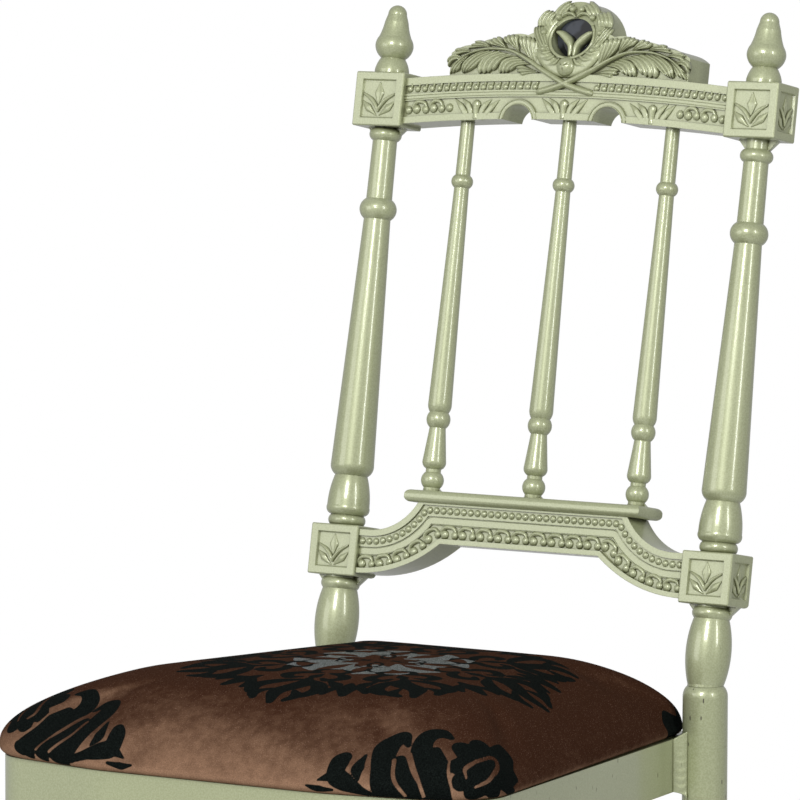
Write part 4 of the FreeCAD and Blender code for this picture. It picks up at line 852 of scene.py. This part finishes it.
CORNER_FLOCK = (
    (((150, -227), (130, -225), (114, -223), (104, -220), (101, -211), (102, -206)),
     (2.2, 3.6, 6.3, 7, 7.4, 5.4)),
    (((92, -227), (99, -223), (106, -220)), (0.8, 3.5, 5)),
    (((84, -232), (96, -233), (108, -231)), (0.8, 3, 1.2)),
    (((124, -219), (117, -211), (115, -198)), (0.7, 5, 1.1)),
    (((160, -223), (145, -215), (133, -203), (126, -188), (127, -177), (134, -173), (141, -179)),
     (9.5, 9.5, 8.4, 10, 8.4, 5.4, 2.2)),
    (((142, -194), (156, -207), (178, -218)), (5, 6, 6.5)),
    (((192, -212), (177, -202), (162, -190), (153, -179), (152, -168), (158, -160), (167, -161)),
     (7.8, 7.8, 9, 8.8, 7.6, 5.8, 2.4)),
    (((166, -180), (180, -191), (188, -201), (200, -210)), (4.5, 5.5, 5.2, 6)),
    (((180, -166), (202, -172), (219, -175)), (7.8, 14, 7)),
    (((186, -152), (202, -168), (210, -190)), (8, 14, 8)),
    (((195, -126), (203, -150), (198, -192)), (8, 14, 7)),
    (((208, -136), (206, -158), (188, -184)), (8, 14, 7)),
    (((222, -152), (210, -162), (202, -172)), (7, 10, 10)),
)
CORNER_VEINS = (
    (((138, -195), (147, -208), (168, -218)), (1.7, 1.4, 1.1)),
    (((147, -186), (160, -199), (182, -214)), (1.0, 1.2, 1.2)),
    (((177, -176), (187, -193), (202, -204)), (0.8, 1.2, 1)),
    (((199, -187), (194, -182), (195, -171), (199, -153),
      (206, -157), (210, -170), (210, -180), (208, -187)),
     (1, 1.6, 1.8, 2, 1.8, 1.6, 1.3, 0.9)),
)


def both_ways(*strokes):
    """Strokes with their mirror images."""
    return strokes + tuple((tuple((-p, q) for p, q in path), halves) for path, halves in strokes)


RING_SPRAY = both_ways(
    (((5, 98), (18, 107), (27, 121), (22, 134), (14, 130)), (3, 6, 7, 5, 2)),
    (((10, 126), (18, 136), (14, 145)), (2, 5.5, 2.8)),
    (((6, 72), (17, 74), (24, 84), (17, 93), (9, 89)), (2, 4.5, 5.5, 4.5, 2)),
    (((3, 52), (12, 58), (11, 67), (3, 70)), (1, 3, 3.2, 1.5)),
) + (
    (((0, 92), (5, 110), (-2, 130), (4, 149)), (3, 9, 7.5, 3.2)),
    (((22, 97), (31, 103), (38, 113)), (2, 5.5, 2.8)),
    (((0, 74), (0, 84), (0, 92)), (1, 5, 1)),
)
RING_BUD = both_ways((((3, 112), (13, 122), (16, 131)), (2, 5, 2.8))) + (
    (((0, 104), (0, 120), (0, 136)), (2, 8, 3.4)),
)
CORE_PETAL = (
    (((0, 20), (8, 34), (5, 50), (-6, 58)), (2, 7, 7, 2)),
    (((-4, 24), (-13, 36), (-12, 46)), (1, 4, 1.5)),
    (((9, 54), (18, 58), (25, 52)), (1.5, 4, 1.2)),
)
CORE_SWIRL = (
    (((0, 8), (10, 13), (13, 24), (5, 31), (-4, 26)), (1.2, 1.4, 1.4, 1.2, 0.8)),
    (((13, 34), (17, 46), (9, 60)), (0.8, 1.5, 0.8)),
)


def damask():
    """A leaf group in each corner and a ring of leaves round a silver heart, a little off the middle."""
    cloth = Damask()
    middle, heart = (14.5, 0.0), (18.0, -12.0)
    rear_apart, rear_up, eighth = 46.0, 58.0, 45.0
    for hand in (-1, 1):
        rear = (middle[0] + hand * rear_apart, rear_up)
        for base, turn in ((middle, 0), (rear, 180)):
            cloth.spray(cloth.black, CORNER_FLOCK, base, turn, 1.0, hand)
            cloth.spray(cloth.bare, CORNER_VEINS, base, turn, 1.0, hand)
    for i in range(8):
        hand = 1 if i % 2 else -1
        turn = eighth * i
        cloth.spray(cloth.black, RING_SPRAY, heart, turn, 1.0, hand)
        cloth.spray(cloth.black, RING_BUD, heart, turn + eighth / 2, 1.0, hand)
        cloth.spray(cloth.silver, CORE_PETAL, heart, turn + eighth / 2, 1.12, hand)
        cloth.spray(cloth.black, CORE_SWIRL, heart, turn, 1.05, hand)
    return cloth


def flocked_velvet():
    finish, place = new_finish("flocked_velvet")

    def cloth_layer(name):
        return place.node("ShaderNodeAttribute", {"attribute_name": name}, {}, "Fac")
    black = cloth_layer("flock").step(0.3, -0.3)
    silver = cloth_layer("glitter").step(0.3, -0.3) * (1 - black)
    # painted sheen: the side facing the front is painted pale and the top dark, as the pile leaning down the
    # front catches the light; patches where hands have brushed the pile shift it about
    normal = place.node("ShaderNodeNewGeometry", {}, {}, "Normal")
    ahead = normal.measured(0.2, -0.86, -0.46)
    pile = place.noise(1200.0, 2.0)
    palms, fingers = place.noise(20.0, 2.0).step(0.25, 0.75), place.noise(150.0, 4.0).step(0.25, 0.75)
    brushed_sheen = palms * 0.5 + fingers * 0.5
    # small pale specks scattered over the pile, lightening the brown in spots
    light_specks = place.noise(1300.0, 0.0).step(0.68, 0.78)
    front_sheen = (ahead + brushed_sheen * 0.44 - 0.2).step(-0.25, 1.22)
    brown = front_sheen.mix(tint(66, 41, 28), tint(166, 130, 104))
    colour = (pile.step(0.3, 0.7) * 0.35).mix(brown, tint(44, 24, 17))
    colour = (light_specks * 0.22).mix(colour, tint(190, 154, 134))
    flock = pile.step(0.35, 0.75).mix(tint(9, 12, 11), tint(27, 32, 30))
    colour = black.mix(colour, flock)
    glitter = place.specks(1100.0).step(0.15, 0.6)
    colour = silver.mix(colour, glitter.mix(tint(176, 182, 184), tint(72, 78, 80)))
    place.surface({
        "Base Color": colour,
        "Roughness": 0.9 - silver * 0.45,
        "Metallic": silver * 0.5,
        "Specular IOR Level": 0.02,
        "Normal": (pile * 0.6 + black * 0.8 + silver * glitter).bump(0.5, 0.0006),
    })
    return finish


def subdivided(mesh, levels):
    holder = into_scene("seat_cage", mesh)
    holder.modifiers.new("smooth", "SUBSURF").levels = levels
    graph = bpy.context.evaluated_depsgraph_get()
    smooth = bpy.data.meshes.new_from_object(holder.evaluated_get(graph))
    bpy.data.objects.remove(holder)
    return smooth


def plump(mesh):
    """Blows the cover up like stuffed cloth held along its tucked edge, and keeps the swell small."""
    swell, rim = 0.006, (APRON_TOP + WIDEST - 3) * MM
    before = np.zeros(3 * len(mesh.vertices), np.float32)
    mesh.vertices.foreach_get("co", before)
    holder = into_scene("stuffing", mesh.copy())
    held = holder.vertex_groups.new(name="tucked_edge")
    held.add(np.flatnonzero(before[2::3] < rim).tolist(), 1.0, "ADD")
    cloth = holder.modifiers.new("cloth", "CLOTH")
    cloth.settings.vertex_group_mass = "tucked_edge"
    cloth.settings.use_pressure = True
    cloth.settings.uniform_pressure_force = 4.0
    cloth.settings.effector_weights.gravity = 0.0
    cloth.settings.tension_stiffness = 20.0
    cloth.settings.compression_stiffness = 20.0
    scene = bpy.context.scene
    for moment in range(1, 21):
        scene.frame_set(moment)
    after = np.zeros_like(before)
    graph = bpy.context.evaluated_depsgraph_get()
    holder.evaluated_get(graph).to_mesh().vertices.foreach_get("co", after)
    scene.frame_set(1)
    bpy.data.objects.remove(holder)
    move = (after - before).reshape(-1, 3)
    length = np.linalg.norm(move, axis=1)[:, None]
    move *= np.minimum(1, swell / np.maximum(length, 1e-9))
    mesh.vertices.foreach_set("co", (before.reshape(-1, 3) + move).ravel())


def mark(mesh, name, values):
    """Keeps a value at each point of a mesh, under a name."""
    mesh.attributes.new(name, "FLOAT", "POINT").data.foreach_set("value", values.astype(np.float32))


def seat_cushion():
    points, faces, cut = seat_cage()
    mesh = bpy.data.meshes.new("seat_cage")
    mesh.from_pydata((points * MM).tolist(), [], faces)
    for k, name in enumerate(CUT):
        mark(mesh, name, cut[:, k])
    plump(mesh)
    smooth = subdivided(mesh, 3)
    spots = np.zeros((len(smooth.vertices), 2), np.float32)
    for k, name in enumerate(CUT):
        values = np.zeros(len(smooth.vertices), np.float32)
        smooth.attributes[name].data.foreach_get("value", values)
        spots[:, k] = values
    cloth = damask()
    black = np.maximum(Damask.distance(cloth.black, spots), -Damask.distance(cloth.bare, spots))
    mark(smooth, "flock", black)
    mark(smooth, "glitter", Damask.distance(cloth.silver, spots))
    for name in CUT:
        smooth.attributes.remove(smooth.attributes[name])
    smooth.shade_smooth()
    smooth.materials.clear()
    smooth.materials.append(flocked_velvet())
    cushion = into_scene("seat_cushion", smooth)
    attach(cushion, "root")
    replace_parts(cushion, "seat_cover", "seat_foam")


seat_cushion()


# Board, dust cloth and screws under the seat.
# A plywood board with a black spun cloth below it, held by four screws through tabs on the side rails.

def plywood():
    finish, place = new_finish("plywood")
    grain = place.stretched(6.0, 90.0, 90.0).noise(3.0, 5.0).step(0.3, 0.7)
    place.surface({"Base Color": grain.mix(tint(176, 138, 94), tint(206, 172, 126)),
                   "Roughness": 0.6 + grain * 0.2})
    return finish


def spun_cloth():
    finish, place = new_finish("spun_cloth")
    fibre = place.noise(1500.0, 2.0).step(0.3, 0.7)
    place.surface({"Base Color": fibre.mix(tint(18, 18, 19), tint(40, 40, 42)), "Roughness": 0.9,
                   "Normal": fibre.bump(0.4, 0.0003)})
    return finish


def screw_steel():
    finish, place = new_finish("screw_steel")
    turned = place.noise(900.0, 1.0)
    place.surface({"Base Color": turned.mix(tint(150, 150, 148), tint(182, 182, 180)), "Metallic": 1.0,
                   "Roughness": 0.3 + turned * 0.15})
    return finish


wears(plywood(), "seat_board")
wears(spun_cloth(), "dust_cloth")
wears(screw_steel(), "seat_screws")


# Glides.
# Black nylon feet pressed into the ends of the legs, scuffed grey where they slide.

def scuffed_nylon():
    finish, place = new_finish("scuffed_nylon")
    scuff = place.noise(260.0, 4.0).step(0.55, 0.7)
    place.surface({"Base Color": scuff.mix(tint(30, 30, 31), tint(72, 72, 72)),
                   "Roughness": 0.45 + scuff * 0.3})
    return finish


wears(scuffed_nylon(), "glides_front", "glides_back")


# Studio.
# A pale floor that runs into a white background, soft lamps, and a long lens at the picture's angle.

def studio_floor():
    finish, place = new_finish("studio_floor")
    paint = place.noise(40.0).mix(tint(240, 240, 239), tint(244, 244, 243))
    ground = place.node("ShaderNodeBsdfPrincipled", {}, {"Base Color": paint, "Roughness": 0.6}, "BSDF")
    open_air = place.node("ShaderNodeBsdfTransparent", {}, {}, "BSDF")
    away = place.node("ShaderNodeVectorMath", {"operation": "LENGTH"}, {0: place}, "Value")
    faded = place.node("ShaderNodeMixShader", {}, {0: away.step(0.7, 1.7), 1: ground, 2: open_air})
    place.node("ShaderNodeOutputMaterial", {}, {"Surface": faded})
    mesh = bpy.data.meshes.new("floor")
    reach, sides = 1.8, 96
    turns = np.linspace(0, 2 * math.pi, sides, endpoint=False)
    rim = [(reach * math.cos(turn), reach * math.sin(turn), 0) for turn in turns]
    mesh.from_pydata(rim, [], [list(range(sides))])
    mesh.materials.append(finish)
    floor = into_scene("floor", mesh)


def white_world():
    world = bpy.data.worlds.new("white_world")
    world.use_nodes = True
    world.node_tree.nodes.clear()
    flow = Flow(world.node_tree)
    seen = flow.node("ShaderNodeLightPath", {}, {}, "Is Camera Ray")
    glossy = flow.node("ShaderNodeLightPath", {}, {}, "Is Glossy Ray")
    through = flow.node("ShaderNodeLightPath", {}, {}, "Is Transmission Ray")
    mirrored, ambient = 0.42, 0.24
    shown = flow.math("MAXIMUM", flow.math("MAXIMUM", seen, through), glossy * mirrored)
    lit = flow.math("MAXIMUM", shown, ambient)
    light = flow.node("ShaderNodeBackground", {}, {"Color": (1, 1, 1, 1), "Strength": lit})
    flow.node("ShaderNodeOutputWorld", {}, {"Surface": light})
    bpy.context.scene.world = world


def soft_lamp(name, turn, raised, distance, wide, tall, power):
    """A softbox that faces the back, turned from straight ahead towards the right."""
    lamp = bpy.data.lights.new(name, "AREA")
    lamp.shape = "RECTANGLE"
    lamp.size = wide
    lamp.size_y = tall
    lamp.energy = power
    holder = into_scene(name, lamp)
    turn, raised = math.radians(turn), math.radians(raised)
    aim = Vector((0, 0.1, 0.6))
    away = Vector((math.sin(turn) * math.cos(raised), -math.cos(turn) * math.cos(raised), math.sin(raised)))
    holder.location = aim + away * distance
    holder.rotation_mode = "QUATERNION"
    holder.rotation_quaternion = (-away).to_track_quat("-Z", "Y")


def picture_camera():
    lens = bpy.data.cameras.new("camera")
    lens.sensor_width = 36.0
    lens.lens = 287.12
    lens.clip_end = 100.0
    camera = into_scene("camera", lens)
    place, aim = Vector((2.64563, -3.90108, 1.05314)), Vector((-0.07633, 0.10419, 0.63531))
    level = Quaternion((0, 0, 1), math.radians(0.16))
    camera.location = place
    camera.rotation_mode = "QUATERNION"
    camera.rotation_quaternion = (aim - place).to_track_quat("-Z", "Y") @ level
    bpy.context.scene.camera = camera


studio_floor()
white_world()
soft_lamp("key", turn=13, raised=30, distance=3.4, wide=1.0, tall=1.2, power=62.0)
soft_lamp("fill", turn=-30, raised=12, distance=3.4, wide=1.8, tall=1.6, power=19.0)
soft_lamp("side", turn=74, raised=20, distance=3.2, wide=0.4, tall=1.3, power=22.0)
picture_camera()
bpy.context.scene.view_settings.view_transform = "Standard"
